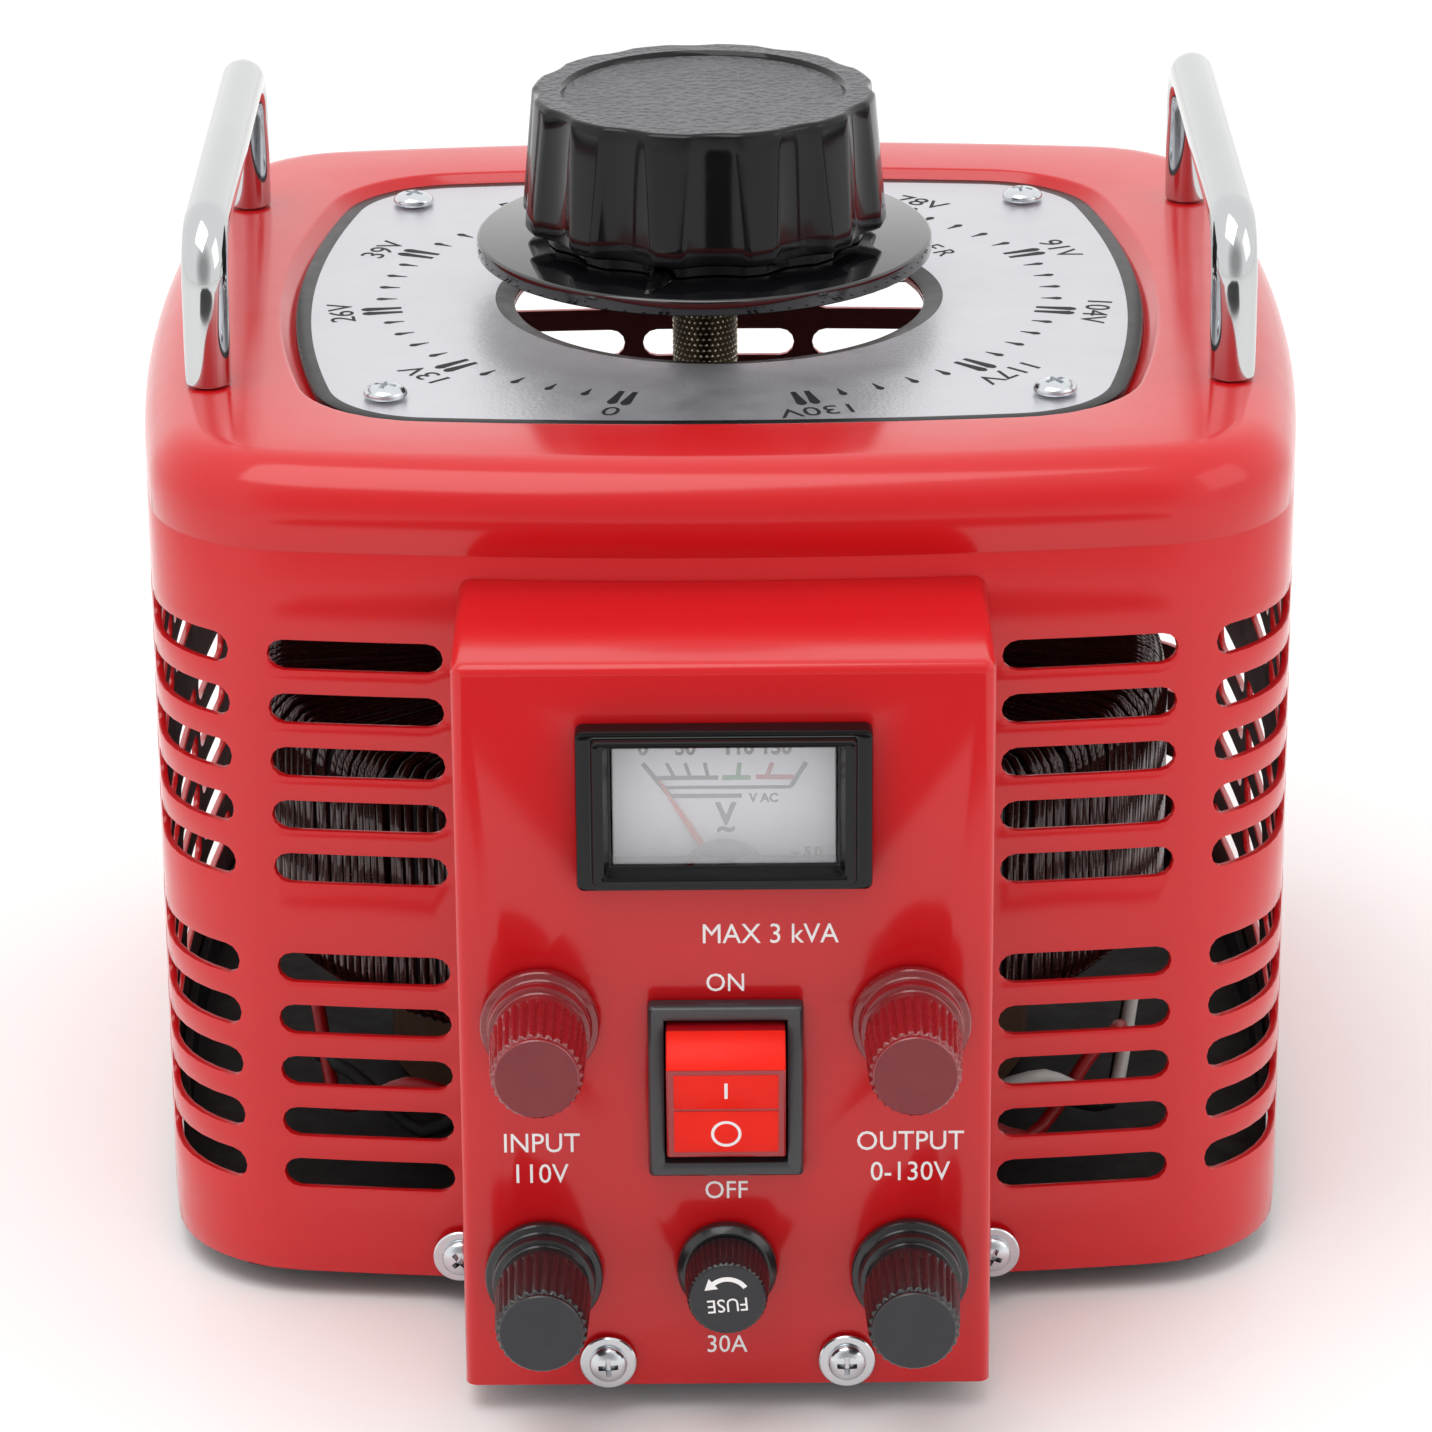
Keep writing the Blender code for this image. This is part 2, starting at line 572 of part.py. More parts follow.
def make_coil(copper, iron, fibre, brass):
    """The toroidal core, its winding with a bare gap, and the clamps that hold it to the tray."""
    centre = (SHAFT_X, CASE_Y, FLOOR)
    front = -math.pi / 2.0
    start = front + COIL_GAP_ANGLE / 2.0
    end = front + 2.0 * math.pi - COIL_GAP_ANGLE / 2.0
    outer = [(COIL_BORE, COIL_BOTTOM), (COIL_RADIUS, COIL_BOTTOM), (COIL_RADIUS, COIL_TOP - 0.004),
             (COIL_RADIUS - 0.004, COIL_TOP), (COIL_BORE, COIL_TOP)]
    winding = new_object("coil_winding", swept_ring(outer, start, end, 32), copper, centre, smooth=40)
    inner = [(COIL_BORE + COIL_WIRE, COIL_BOTTOM + COIL_WIRE), (COIL_RADIUS - COIL_WIRE, COIL_BOTTOM + COIL_WIRE),
             (COIL_RADIUS - COIL_WIRE, COIL_TOP - COIL_WIRE), (COIL_BORE + COIL_WIRE, COIL_TOP - COIL_WIRE)]
    hollow = turned(inner, 32, ring=True)
    bmesh.ops.translate(hollow, vec=centre, verts=hollow.verts)
    cut(winding, "winding_hollow_tool", hollow)
    core = []
    for radius, height in inner:
        toward = 1.0 if radius < 0.06 else -1.0
        up = 1.0 if height < 0.06 else -1.0
        core.append((radius + toward * 2.0 * GAP, height + up * 2.0 * GAP))
    new_object("toroid_core", turned(core, 32, ring=True), iron, centre, smooth=40)

    pad = [(STAND_INNER_RADIUS, BASE_THICKNESS + GAP), (STAND_OUTER_RADIUS, BASE_THICKNESS + GAP),
           (STAND_OUTER_RADIUS, COIL_BOTTOM - GAP), (STAND_INNER_RADIUS, COIL_BOTTOM - GAP)]
    new_object("coil_stand_ring", turned(pad, 24, ring=True), fibre, centre, smooth=40)
    clamp_top = COIL_TOP + CLAMP_THICKNESS
    spool = [(BUSH_RADIUS, COIL_BOTTOM - 0.0100), (SPOOL_RADIUS, COIL_BOTTOM - 0.0100),
             (SPOOL_RADIUS, COIL_TOP - 0.0060), (SPOOL_RADIUS + 0.0040, COIL_TOP + GAP),
             (CLAMP_RADIUS, COIL_TOP + GAP), (CLAMP_RADIUS, clamp_top), (BUSH_RADIUS, clamp_top)]
    new_object("coil_clamp", turned(spool, 24, ring=True), fibre, centre, smooth=40)
    bore = SHAFT_RADIUS + 0.00008
    bush_low = COIL_BOTTOM - 0.0140
    bush = [(bore, bush_low), (BUSH_RADIUS - GAP, bush_low), (BUSH_RADIUS - GAP, clamp_top + GAP),
            (BUSH_FLANGE_RADIUS, clamp_top + GAP), (BUSH_FLANGE_RADIUS, clamp_top + 0.0030),
            (bore, clamp_top + 0.0030)]
    new_object("bearing_bush", turned(bush, 16, ring=True), brass, centre, smooth=40)


def make_rotor(steel, black, aluminium, carbon):
    """Everything that turns with the dial: shaft, collar, knob, pointer disc and brush arm."""
    centre = (SHAFT_X, CASE_Y, FLOOR)
    knob_low = SKIRT_LOW + SKIRT_THICKNESS + GAP
    shaft = [(SHAFT_RADIUS, COIL_BOTTOM - 0.0200), (SHAFT_RADIUS, KNOB_TOP - 0.0080)]
    new_object("dial_shaft", turned(shaft, 24), steel, centre, smooth=40)
    collar_low = COIL_TOP + 0.0300
    collar = [(SHAFT_RADIUS + GAP, collar_low), (COLLAR_RADIUS - 0.0004, collar_low),
              (COLLAR_RADIUS, collar_low + 0.0006), (COLLAR_RADIUS, SKIRT_LOW - GAP - 0.0006),
              (COLLAR_RADIUS - 0.0004, SKIRT_LOW - GAP), (SHAFT_RADIUS + GAP, SKIRT_LOW - GAP)]
    new_object("knurled_collar", turned(collar, 16, ring=True), steel, centre, smooth=40)
    skirt = [(SHAFT_RADIUS + GAP, SKIRT_LOW), (SKIRT_RADIUS - 0.0008, SKIRT_LOW), (SKIRT_RADIUS, SKIRT_LOW + 0.0008),
             (SKIRT_RADIUS, knob_low - GAP - 0.0010), (SKIRT_RADIUS - 0.0010, knob_low - GAP),
             (SHAFT_RADIUS + GAP, knob_low - GAP)]
    new_object("pointer_disc", turned(skirt, 36, ring=True), black, centre, smooth=40)

    steps = KNOB_FLUTES * 3
    levels = [(knob_low, KNOB_FOOT_RADIUS - KNOB_UNDERCUT, 0.0), (knob_low + 0.0030, KNOB_FOOT_RADIUS, 0.0012),
              (KNOB_TOP - 0.0030, KNOB_TOP_RADIUS, 0.0012), (KNOB_TOP, KNOB_TOP_RADIUS - 0.0016, 0.0004),
              (KNOB_TOP, 0.0245, 0.0), (KNOB_TOP - 0.0010, 0.0240, 0.0)]
    loops = []
    for height, radius, flute in levels:
        loop = []
        for step in range(steps):
            angle = 2.0 * math.pi * step / steps
            reach = radius - flute * (1.0 + math.cos(KNOB_FLUTES * angle)) / 2.0
            loop.append((reach * math.cos(angle), reach * math.sin(angle), height))
        loops.append(loop)
    knob = new_object("dial_knob", lofted(loops), black, centre, smooth=40)
    bore = turned([(SHAFT_RADIUS + GAP, knob_low - 0.002), (SHAFT_RADIUS + GAP, KNOB_TOP - 0.0080 + GAP)], 24)
    bmesh.ops.translate(bore, vec=centre, verts=bore.verts)
    cut(knob, "knob_bore_tool", bore)
    side = math.radians(90)
    grub_height = FLOOR + knob_low + 0.0070
    hole = turned([(0.0022, SHAFT_RADIUS + GAP), (0.0022, KNOB_FOOT_RADIUS + 0.004)], 12)
    turn = Matrix.Rotation(side, 4, "X") @ Matrix.Rotation(math.pi, 4, "X")
    place = Matrix.Translation((SHAFT_X, CASE_Y, grub_height))
    bmesh.ops.transform(hole, matrix=place @ turn, verts=hole.verts)
    cut(knob, "knob_grub_tool", hole)
    new_object("knob_grub_screw", turned([(0.0019, 0.0), (0.0019, 0.0080)], 12), steel,
               (SHAFT_X, CASE_Y + SHAFT_RADIUS + 2.0 * GAP, grub_height), (-math.pi / 2.0, 0.0, 0.0), smooth=40)

    hub_low = COIL_TOP + 0.0060 + GAP
    pointing = Matrix.Rotation(-DIAL_ZERO_ANGLE, 4, "Z")
    arm = turned([(SHAFT_RADIUS + GAP, hub_low), (0.0110, hub_low), (0.0110, hub_low + 0.0140),
                  (SHAFT_RADIUS + GAP, hub_low + 0.0140)], 24, ring=True)
    arm_object = new_object("brush_arm", arm, aluminium, centre, smooth=40)
    plank = block((-0.0090, -0.0780, FLOOR + hub_low + 0.0060), (0.0090, -0.0080, FLOOR + hub_low + 0.0100))
    bmesh.ops.transform(plank, matrix=Matrix.Translation((SHAFT_X, CASE_Y, 0.0)) @ pointing, verts=plank.verts)
    cut(arm_object, "brush_arm_plank", plank, "UNION")
    window = block((-0.0054, -0.0724, FLOOR + hub_low + 0.0040), (0.0054, -0.0576, FLOOR + hub_low + 0.0120))
    bmesh.ops.transform(window, matrix=Matrix.Translation((SHAFT_X, CASE_Y, 0.0)) @ pointing, verts=window.verts)
    cut(arm_object, "brush_arm_window", window)

    turn = (0.0, 0.0, -DIAL_ZERO_ANGLE)
    holder_low = COIL_TOP + 0.0040
    holder = block((-0.0051, -0.0721, holder_low), (0.0051, -0.0579, hub_low + 0.0160))
    holder_object = new_object("brush_holder", holder, aluminium, centre, turn)
    socket = block((-0.0033, -0.0703, FLOOR + holder_low - 0.002), (0.0033, -0.0597, FLOOR + hub_low + 0.0140))
    bmesh.ops.transform(socket, matrix=Matrix.Translation((SHAFT_X, CASE_Y, 0.0)) @ pointing, verts=socket.verts)
    cut(holder_object, "holder_socket_tool", socket)
    brush = block((-0.0030, -0.0700, COIL_TOP + GAP), (0.0030, -0.0600, hub_low + 0.0090))
    new_object("carbon_brush", brush, carbon, centre, turn)


def make_posts(red, black, brass):
    """Four binding posts: a moulded base through the panel, a brass stud, and a cap with a brass insert."""
    forward = (math.pi / 2.0, 0.0, 0.0)
    base = [(0.0021 + GAP, -0.0075), (0.0046, -0.0075), (0.0046, GAP), (POST_FLANGE_RADIUS, GAP),
            (POST_FLANGE_RADIUS, 0.0022), (0.0085, 0.0030), (0.0085, 0.0050), (0.0074, 0.0058),
            (0.0074, 0.0080), (0.0021 + GAP, 0.0080)]
    stud = [(0.0021, -0.0180), (0.0021, 0.0185)]
    insert = [(0.0021 + GAP, 0.0083), (0.0040, 0.0083), (0.0040, 0.0190), (0.0021 + GAP, 0.0190)]
    cap = [(0.0040 + GAP, 0.0083), (0.0078, 0.0083), (0.0080, 0.0090), (0.0076, POST_LENGTH - 0.0016),
           (0.0070, POST_LENGTH), (0.0010, POST_LENGTH), (0.0010, POST_LENGTH - 0.0022),
           (0.0040 + GAP, POST_LENGTH - 0.0022)]
    for side, x in (("left", -POST_X), ("right", POST_X)):
        for row, z, look in (("upper", POST_HIGH, red), ("lower", POST_LOW, black)):
            place = (x, PANEL_Y, FLOOR + z)
            end = f"{row}_{side}"
            new_object(f"post_base_{end}", turned(base, 16, ring=True), look, place, forward, smooth=35)
            new_object(f"post_stud_{end}", turned(stud, 10), brass, place, forward, smooth=40)
            new_object(f"post_insert_{end}", turned(insert, 12, ring=True), brass, place, forward, smooth=40)
            new_object(f"post_cap_{end}", turned(cap, 16, ring=True), look, place, forward, smooth=35)


def make_switch(black, red):
    """The rocker switch: a framed body through the panel and a rocker, tilted to its lower position."""
    centre_z = FLOOR + SWITCH_HEIGHT
    half_x = SWITCH_X / 2.0
    half_z = SWITCH_Z / 2.0
    frame = bevelled_block((-half_x, PANEL_Y - SWITCH_PROUD, centre_z - half_z),
                           (half_x, PANEL_Y - GAP, centre_z + half_z), 0.0006)
    body = new_object("switch_body", frame, black)
    rear = block((-0.0109, PANEL_Y - 0.0010, centre_z - 0.0136),
                 (0.0109, PANEL_Y + SWITCH_DEPTH, centre_z + 0.0136))
    cut(body, "switch_rear", rear, "UNION")
    open_x = half_x - SWITCH_FRAME
    open_z = half_z - SWITCH_FRAME
    well = block((-open_x, PANEL_Y - 0.01, centre_z - open_z), (open_x, PANEL_Y + 0.0140, centre_z + open_z))
    cut(body, "switch_well", well)

    # The rocker turns about X on its pivot. It is drawn level and then tilted, with its upper end out.
    half_face = math.sqrt(ROCKER_RADIUS ** 2 - ROCKER_FACE ** 2)
    end_angle = math.atan2(half_face, ROCKER_FACE)
    upper = []
    steps = 4
    for step in range(steps + 1):
        angle = end_angle + (math.radians(92) - end_angle) * step / steps
        upper.append((-ROCKER_RADIUS * math.cos(angle), ROCKER_RADIUS * math.sin(angle)))
    upper += [(0.0060, 0.0070)]
    outline = [(-ROCKER_FACE + 0.0011, 0.0)] + upper + [(y, -z) for y, z in reversed(upper)]
    width = open_x - GAP
    rocker = lofted([[(-width, y, z) for y, z in outline], [(width, y, z) for y, z in outline]])
    new_object("switch_rocker", rocker, red, (0.0, PANEL_Y + ROCKER_PIVOT, centre_z), (ROCKER_TILT, 0.0, 0.0))


def make_fuse(black, glass):
    """The fuse holder, its turning cap and the cartridge that comes out with it."""
    forward = (math.pi / 2.0, 0.0, 0.0)
    place = (0.0, PANEL_Y, FLOOR + FUSE_HEIGHT)
    tube = 0.0041
    holder = [(tube, -0.0340), (0.0058, -0.0340), (0.0058, GAP), (FUSE_FLANGE_RADIUS, GAP),
              (FUSE_FLANGE_RADIUS, 0.0024), (0.0074, 0.0032), (tube, 0.0032)]
    new_object("fuse_holder", turned(holder, 16, ring=True), black, place, forward, smooth=35)
    cap = [(0.0038, -0.0010), (0.0038, 0.0035), (0.0069, 0.0035), (0.0071, 0.0045),
           (0.0066, FUSE_LENGTH - 0.0010), (0.0060, FUSE_LENGTH)]
    new_object("fuse_cap", turned(cap, 16), black, place, forward, smooth=35)
    link = [(FUSE_LINK_RADIUS, -0.0320), (FUSE_LINK_RADIUS, -0.0010 - GAP)]
    new_object("fuse_link", turned(link, 12), glass, place, forward, smooth=40)


def make_meter(black, white, grey, red, clear):
    """The meter: a framed case that widens behind the panel, its plate, needle, hub cover and window."""
    z = FLOOR + METER_HEIGHT
    half_x = METER_X / 2.0
    half_z = METER_Z / 2.0
    behind = PANEL_Y + BOX_WALL + GAP
    frame = bevelled_block((-half_x, PANEL_Y - METER_PROUD, z - half_z), (half_x, PANEL_Y - GAP, z + half_z), 0.0008)
    body = new_object("meter_case", frame, black)
    neck = block((-0.0212, PANEL_Y - 0.0010, z - 0.0119), (0.0212, behind + 0.0010, z + 0.0125))
    cut(body, "meter_neck", neck, "UNION")
    rear = block((-0.0219, behind, z - METER_PIVOT - 0.0030), (0.0219, PANEL_Y + METER_DEPTH, z + 0.0130))
    cut(body, "meter_rear", rear, "UNION")
    open_x = 0.0184
    open_low = -0.0097
    open_high = 0.0112
    floor_y = PANEL_Y + 0.0064
    well = block((-open_x, PANEL_Y - 0.02, z + open_low), (open_x, floor_y, z + open_high))
    cut(body, "meter_well", well)
    cellar = block((-open_x, behind + 0.0007, z - METER_PIVOT - 0.0018), (open_x, floor_y, z + open_low + 0.0020))
    cut(body, "meter_cellar", cellar)
    plate_x = open_x - GAP
    new_object("meter_dial", block((-plate_x, floor_y - 0.0013, z - METER_PIVOT - 0.0018 + GAP),
                                   (plate_x, floor_y - GAP, z + open_high - GAP)), white)
    pivot = (0.0, PANEL_Y + 0.0043, z - METER_PIVOT)
    arc_steps = 12
    hub = []
    for y in (PANEL_Y + 0.0028, PANEL_Y + 0.0036):
        loop = []
        for step in range(arc_steps + 1):
            angle = math.pi * step / arc_steps
            loop.append((METER_HUB_RADIUS * math.cos(angle), y, pivot[2] + METER_HUB_RADIUS * math.sin(angle)))
        hub.append(loop)
    new_object("meter_hub", lofted(hub), grey, smooth=40)
    thick = 0.0005
    needle = lofted([
        [(-0.0008, 0.0, -0.0010), (0.0008, 0.0, -0.0010), (0.0008, thick, -0.0010), (-0.0008, thick, -0.0010)],
        [(-0.00015, 0.0, 0.0205), (0.00015, 0.0, 0.0205), (0.00015, thick, 0.0205), (-0.00015, thick, 0.0205)],
    ])
    new_object("meter_needle", needle, red, pivot, (0.0, -METER_REST, 0.0))
    new_object("meter_window", block((-plate_x, PANEL_Y - 0.0036, z + open_low + GAP),
                                     (plate_x, PANEL_Y - 0.0022, z + open_high - GAP)), clear)


def main():
    """Clear the scene and build every piece."""
    for thing in list(bpy.data.objects):
        bpy.data.objects.remove(thing, do_unlink=True)

    red_enamel = finish("red_enamel", 0.55, 0.02, 0.02, 0.30)
    zinc = finish("zinc_steel", 0.62, 0.62, 0.60, 0.35, 1.0)
    chrome = finish("chrome_steel", 0.80, 0.80, 0.80, 0.08, 1.0)
    silver = finish("silver_plate", 0.55, 0.56, 0.57, 0.45, 0.6)
    rubber = finish("black_rubber", 0.02, 0.02, 0.02, 0.70)
    black = finish("black_phenolic", 0.015, 0.015, 0.015, 0.25)
    red_moulding = finish("red_moulding", 0.20, 0.008, 0.010, 0.35)
    lens = finish("red_lens", 0.60, 0.01, 0.02, 0.20)
    brass = finish("brass", 0.60, 0.42, 0.18, 0.30, 1.0)
    enamel_wire = finish("enamelled_wire", 0.10, 0.05, 0.03, 0.40)
    iron = finish("core_steel", 0.20, 0.20, 0.21, 0.50, 0.8)
    fibre = finish("fibre_board", 0.12, 0.07, 0.04, 0.60)
    aluminium = finish("cast_aluminium", 0.60, 0.60, 0.62, 0.40, 1.0)
    carbon = finish("carbon", 0.03, 0.03, 0.03, 0.60)
    white = finish("meter_white", 0.80, 0.80, 0.88, 0.50)
    grey = finish("grey_cover", 0.30, 0.30, 0.33, 0.40)
    clear = finish("clear_acrylic", 0.90, 0.92, 0.95, 0.05, 0.0, 0.3)
    glass = finish("fuse_glass", 0.85, 0.88, 0.88, 0.10, 0.0, 0.5)
    needle_red = finish("needle_red", 0.60, 0.05, 0.03, 0.40)

    make_case(red_enamel)
    make_base(red_enamel, rubber)
    make_control_box(red_enamel, zinc)
    make_dial_plate(silver)
    make_screws(zinc)
    make_handles(chrome)
    make_coil(enamel_wire, iron, fibre, brass)
    make_rotor(zinc, black, aluminium, carbon)
    make_posts(red_moulding, black, brass)
    make_switch(black, lens)
    make_fuse(black, glass)
    make_meter(black, white, grey, needle_red, clear)


main()
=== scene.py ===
"""The looks of a bench autotransformer: a red stove-enamelled case with a dial on top and a panel in front."""

import logging
import math
from collections.abc import Sequence
from dataclasses import dataclass
from enum import Enum

import bmesh
import bpy
from mathutils import Matrix, Vector

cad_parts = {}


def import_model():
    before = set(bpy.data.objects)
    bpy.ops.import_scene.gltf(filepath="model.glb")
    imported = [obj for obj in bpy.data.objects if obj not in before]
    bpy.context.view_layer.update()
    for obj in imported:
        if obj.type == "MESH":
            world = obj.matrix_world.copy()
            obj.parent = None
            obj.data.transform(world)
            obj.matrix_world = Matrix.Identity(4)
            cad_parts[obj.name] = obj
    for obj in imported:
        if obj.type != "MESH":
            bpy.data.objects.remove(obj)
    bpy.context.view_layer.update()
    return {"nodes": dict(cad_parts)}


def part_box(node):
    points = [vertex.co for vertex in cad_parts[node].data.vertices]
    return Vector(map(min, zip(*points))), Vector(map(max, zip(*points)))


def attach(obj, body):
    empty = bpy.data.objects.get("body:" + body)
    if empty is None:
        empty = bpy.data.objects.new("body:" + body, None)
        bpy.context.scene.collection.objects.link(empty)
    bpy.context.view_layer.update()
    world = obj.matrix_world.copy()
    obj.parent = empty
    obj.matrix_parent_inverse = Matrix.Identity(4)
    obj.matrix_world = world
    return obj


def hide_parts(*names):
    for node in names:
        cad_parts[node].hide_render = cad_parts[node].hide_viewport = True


Point = tuple[float, float, float]
Flat = tuple[float, float]
log = logging.getLogger("autotransformer")

MM = 0.001
GAP = 0.3 * MM
FLOOR = 5.0 * MM            # the case's bottom edge stands this far above the bench
CASE_Y = 30.65 * MM
PANEL_Y = -110.35 * MM
SHAFT_X = -2.6 * MM
CASE = Matrix.Translation((0.0, CASE_Y, FLOOR))
ROTOR = Matrix.Translation((SHAFT_X, CASE_Y, FLOOR))
# On the panel X runs right, Y up from the case's bottom edge and Z out of the panel.
PANEL = Matrix.Translation((0.0, PANEL_Y, FLOOR)) @ Matrix.Rotation(math.pi / 2.0, 4, "X")
SIDES = (("left", -1.0), ("right", 1.0))
INK_RISE = 0.04 * MM        # how far the signs' ink stands off its face
POST_X = 30.5 * MM          # the posts' distance from the panel's middle
POST_HEIGHTS = (("upper", 66.8 * MM), ("lower", 21.0 * MM))
SWITCH_HEIGHT = 55.2 * MM   # heights on the panel, from the case's bottom edge
FUSE_HEIGHT = 22.2 * MM
FAR = 1.0                   # a distance that belongs to no slot, in metres
MATH, VECTOR, MIX = "ShaderNodeMath", "ShaderNodeVectorMath", "ShaderNodeMix"
INTEGER, JOIN = "FunctionNodeIntegerMath", "ShaderNodeCombineXYZ"


def linear(code: str) -> tuple[float, float, float, float]:
    """Turns an sRGB hex colour into linear light.

    Args:
        code: six hex digits.
    Returns:
        The colour with an alpha of one.
    """
    parts = [int(code[start:start + 2], 16) / 255.0 for start in (0, 2, 4)]
    light = [((part + 0.055) / 1.055) ** 2.4 if part > 0.04045 else part / 12.92 for part in parts]
    return (light[0], light[1], light[2], 1.0)


def add_node(tree: bpy.types.NodeTree, kind: str, inputs: dict | Sequence | None = None,
             **settings: object) -> bpy.types.Node:
    """Adds a node with its settings and links.

    Args:
        tree: the tree that gets the node.
        kind: the node's type.
        inputs: a value, a socket or a node for each input, by name or number, or in order.
        settings: the node's own properties.
    Returns:
        The new node.
    """
    node = tree.nodes.new(kind)
    for name, value in settings.items():
        setattr(node, name, value)
    given = inputs if isinstance(inputs, dict) else dict(enumerate(inputs or ()))
    for key, value in given.items():
        socket = node.inputs[key] if isinstance(key, int) else next(
            s for s in node.inputs if s.name == key and s.enabled)
        if isinstance(value, bpy.types.Node):
            value = next(s for s in value.outputs if s.enabled)
        if isinstance(value, bpy.types.NodeSocket):
            tree.links.new(value, socket)
        else:
            socket.default_value = value
    return node


class Grain(Enum):
    """What the surface feels like close up."""

    SMOOTH = "smooth"
    PEEL = "orange peel of sprayed enamel"
    SAND = "fine blasted grain"
    WRINKLE = "wrinkled lacquer"
    BRUSHED = "fine lines round the part"


@dataclass(frozen=True)
class Finish:
    """One real material: its two close colours, its gloss and its grain."""

    name: str
    colour: str
    second: str
    rough: tuple[float, float]
    drift: float = 30.0     # millimetres over which the colour and the gloss wander
    metallic: float = 0.0
    coat: float = 0.0
    coat_rough: float = 0.03
    specular: float = 0.5
    clear: float = 0.0      # share of light that passes straight through where it is looked at squarely
    glow: float = 0.0       # share of light that soaks in and comes out near by
    grain: Grain = Grain.SMOOTH
    grain_size: float = 1.0     # millimetres
    grain_depth: float = 0.0    # millimetres

    def height(self, tree: bpy.types.NodeTree, place: bpy.types.Node) -> bpy.types.Node:
        """Makes the pattern that the bump follows.

        Args:
            tree: the material's tree.
            place: the texture coordinate node.
        Returns:
            A node whose first output is the height from 0 to 1.
        """
        scale = 1.0 / (self.grain_size * MM)
        point = place.outputs["Object"]
        if self.grain is Grain.WRINKLE:
            bent = add_node(tree, "ShaderNodeTexNoise", {"Vector": point, "Scale": scale * 0.7, "Detail": 3.0})
            push = add_node(tree, VECTOR, {0: bent.outputs["Color"], "Scale": self.grain_size * MM},
                            operation="SCALE")
            pushed = add_node(tree, VECTOR, (point, push), operation="ADD")
            return add_node(tree, "ShaderNodeTexVoronoi", {"Vector": pushed, "Scale": scale, "Smoothness": 0.4},
                            feature="SMOOTH_F1")
        if self.grain is Grain.BRUSHED:
            point = add_node(tree, "ShaderNodeMapping", {"Vector": point, "Scale": (1.0, 0.05, 1.0)})
        detail = 5.0 if self.grain is Grain.SAND else 2.0
        return add_node(tree, "ShaderNodeTexNoise", {"Vector": point, "Scale": scale, "Detail": detail})

    def material(self) -> bpy.types.Material:
        """Makes the node material, once.

        Returns:
            The material.
        """
        known = bpy.data.materials.get(self.name)
        if known:
            return known
        material = bpy.data.materials.new(self.name)
        material.use_nodes = True
        tree = material.node_tree
        shader = tree.nodes["Principled BSDF"]
        place = add_node(tree, "ShaderNodeTexCoord")
        point = place.outputs["Object"]
        wander = add_node(tree, "ShaderNodeTexNoise",
                          {"Vector": point, "Scale": 1.0 / (self.drift * MM), "Detail": 4.0})
        colour = add_node(tree, MIX, {"Factor": wander, "A": linear(self.colour), "B": linear(self.second)},
                          data_type="RGBA")
        rub = add_node(tree, "ShaderNodeTexNoise",
                       {"Vector": point, "Scale": 3.3 / (self.drift * MM), "Detail": 6.0, "Roughness": 0.6})
        gloss = add_node(tree, "ShaderNodeMapRange", {"Value": rub, "From Min": 0.3, "From Max": 0.7,
                                                      "To Min": self.rough[0], "To Max": self.rough[1]})
        tree.links.new(next(s for s in colour.outputs if s.enabled), shader.inputs["Base Color"])
        tree.links.new(gloss.outputs[0], shader.inputs["Roughness"])
        steady = {"Metallic": self.metallic, "Coat Weight": self.coat, "Coat Roughness": self.coat_rough,
                  "Specular IOR Level": self.specular}
        if self.glow:
            steady |= {"Subsurface Weight": self.glow, "Subsurface Scale": 2.0 * MM}
        for name, value in steady.items():
            shader.inputs[name].default_value = value
        if self.clear:
            edge = add_node(tree, "ShaderNodeFresnel", {"IOR": 1.5})
            cover = add_node(tree, "ShaderNodeMapRange", {"Value": edge, "From Min": 0.05, "To Min": 1.0 - self.clear})
            tree.links.new(cover.outputs[0], shader.inputs["Alpha"])
        if self.grain is not Grain.SMOOTH:
            bump = add_node(tree, "ShaderNodeBump", {"Height": self.height(tree, place),
                                                     "Distance": self.grain_depth * MM})
            tree.links.new(bump.outputs[0], shader.inputs["Normal"])
        return material


# Stove enamel sprayed on steel: deep even red under a wet gloss, with a faint orange peel.
ENAMEL = Finish("stove_enamel_red", "CC1118", "C20F15", (0.35, 0.45), 60.0, coat=0.85, coat_rough=0.15,
                specular=0.1, grain=Grain.PEEL, grain_size=3.0, grain_depth=0.003)
# Lacquered aluminium sheet, blasted before it was sprayed: silver with a fine sparkle of sand.
SILVER = Finish("satin_silver_aluminium", "D2D2D7", "C9C9CF", (0.28, 0.38), 25.0, metallic=0.85,
                grain=Grain.SAND, grain_size=0.8, grain_depth=0.07)
# Screen-printed gloss ink: black that turns grey where it mirrors the room.
PLATE_INK = Finish("gloss_black_screen_ink", "121214", "0C0C0E", (0.25, 0.34), 20.0, specular=0.25)
# Moulded phenolic, polished: near black with sharp highlights.
PHENOLIC = Finish("polished_phenolic_black", "0F0F11", "0A0A0C", (0.07, 0.13), 12.0, specular=0.3)
# Lathe-turned and buffed phenolic disc: a dark mirror.
MIRROR_BLACK = Finish("buffed_phenolic_disc", "101013", "0B0B0D", (0.05, 0.08), 25.0, coat=0.6, coat_rough=0.02)
# The knob's top as moulded against a wrinkled tool: matt leathery grey-black.
WRINKLE = Finish("wrinkle_moulded_phenolic", "5C5C60", "4A4A4D", (0.34, 0.48), 8.0, grain=Grain.WRINKLE,
                 grain_size=1.5, grain_depth=0.8)
# Painted shade for the inside of the cover: a dark matt red on the cover's inner faces, standing in for the shade
# inside the case.
INNER_SHADE_RED = Finish("dark_red_inner_painted_shade", "5E1416", "4C1012", (0.7, 0.85), 20.0, grain=Grain.SAND, grain_size=0.8,
                grain_depth=0.02)
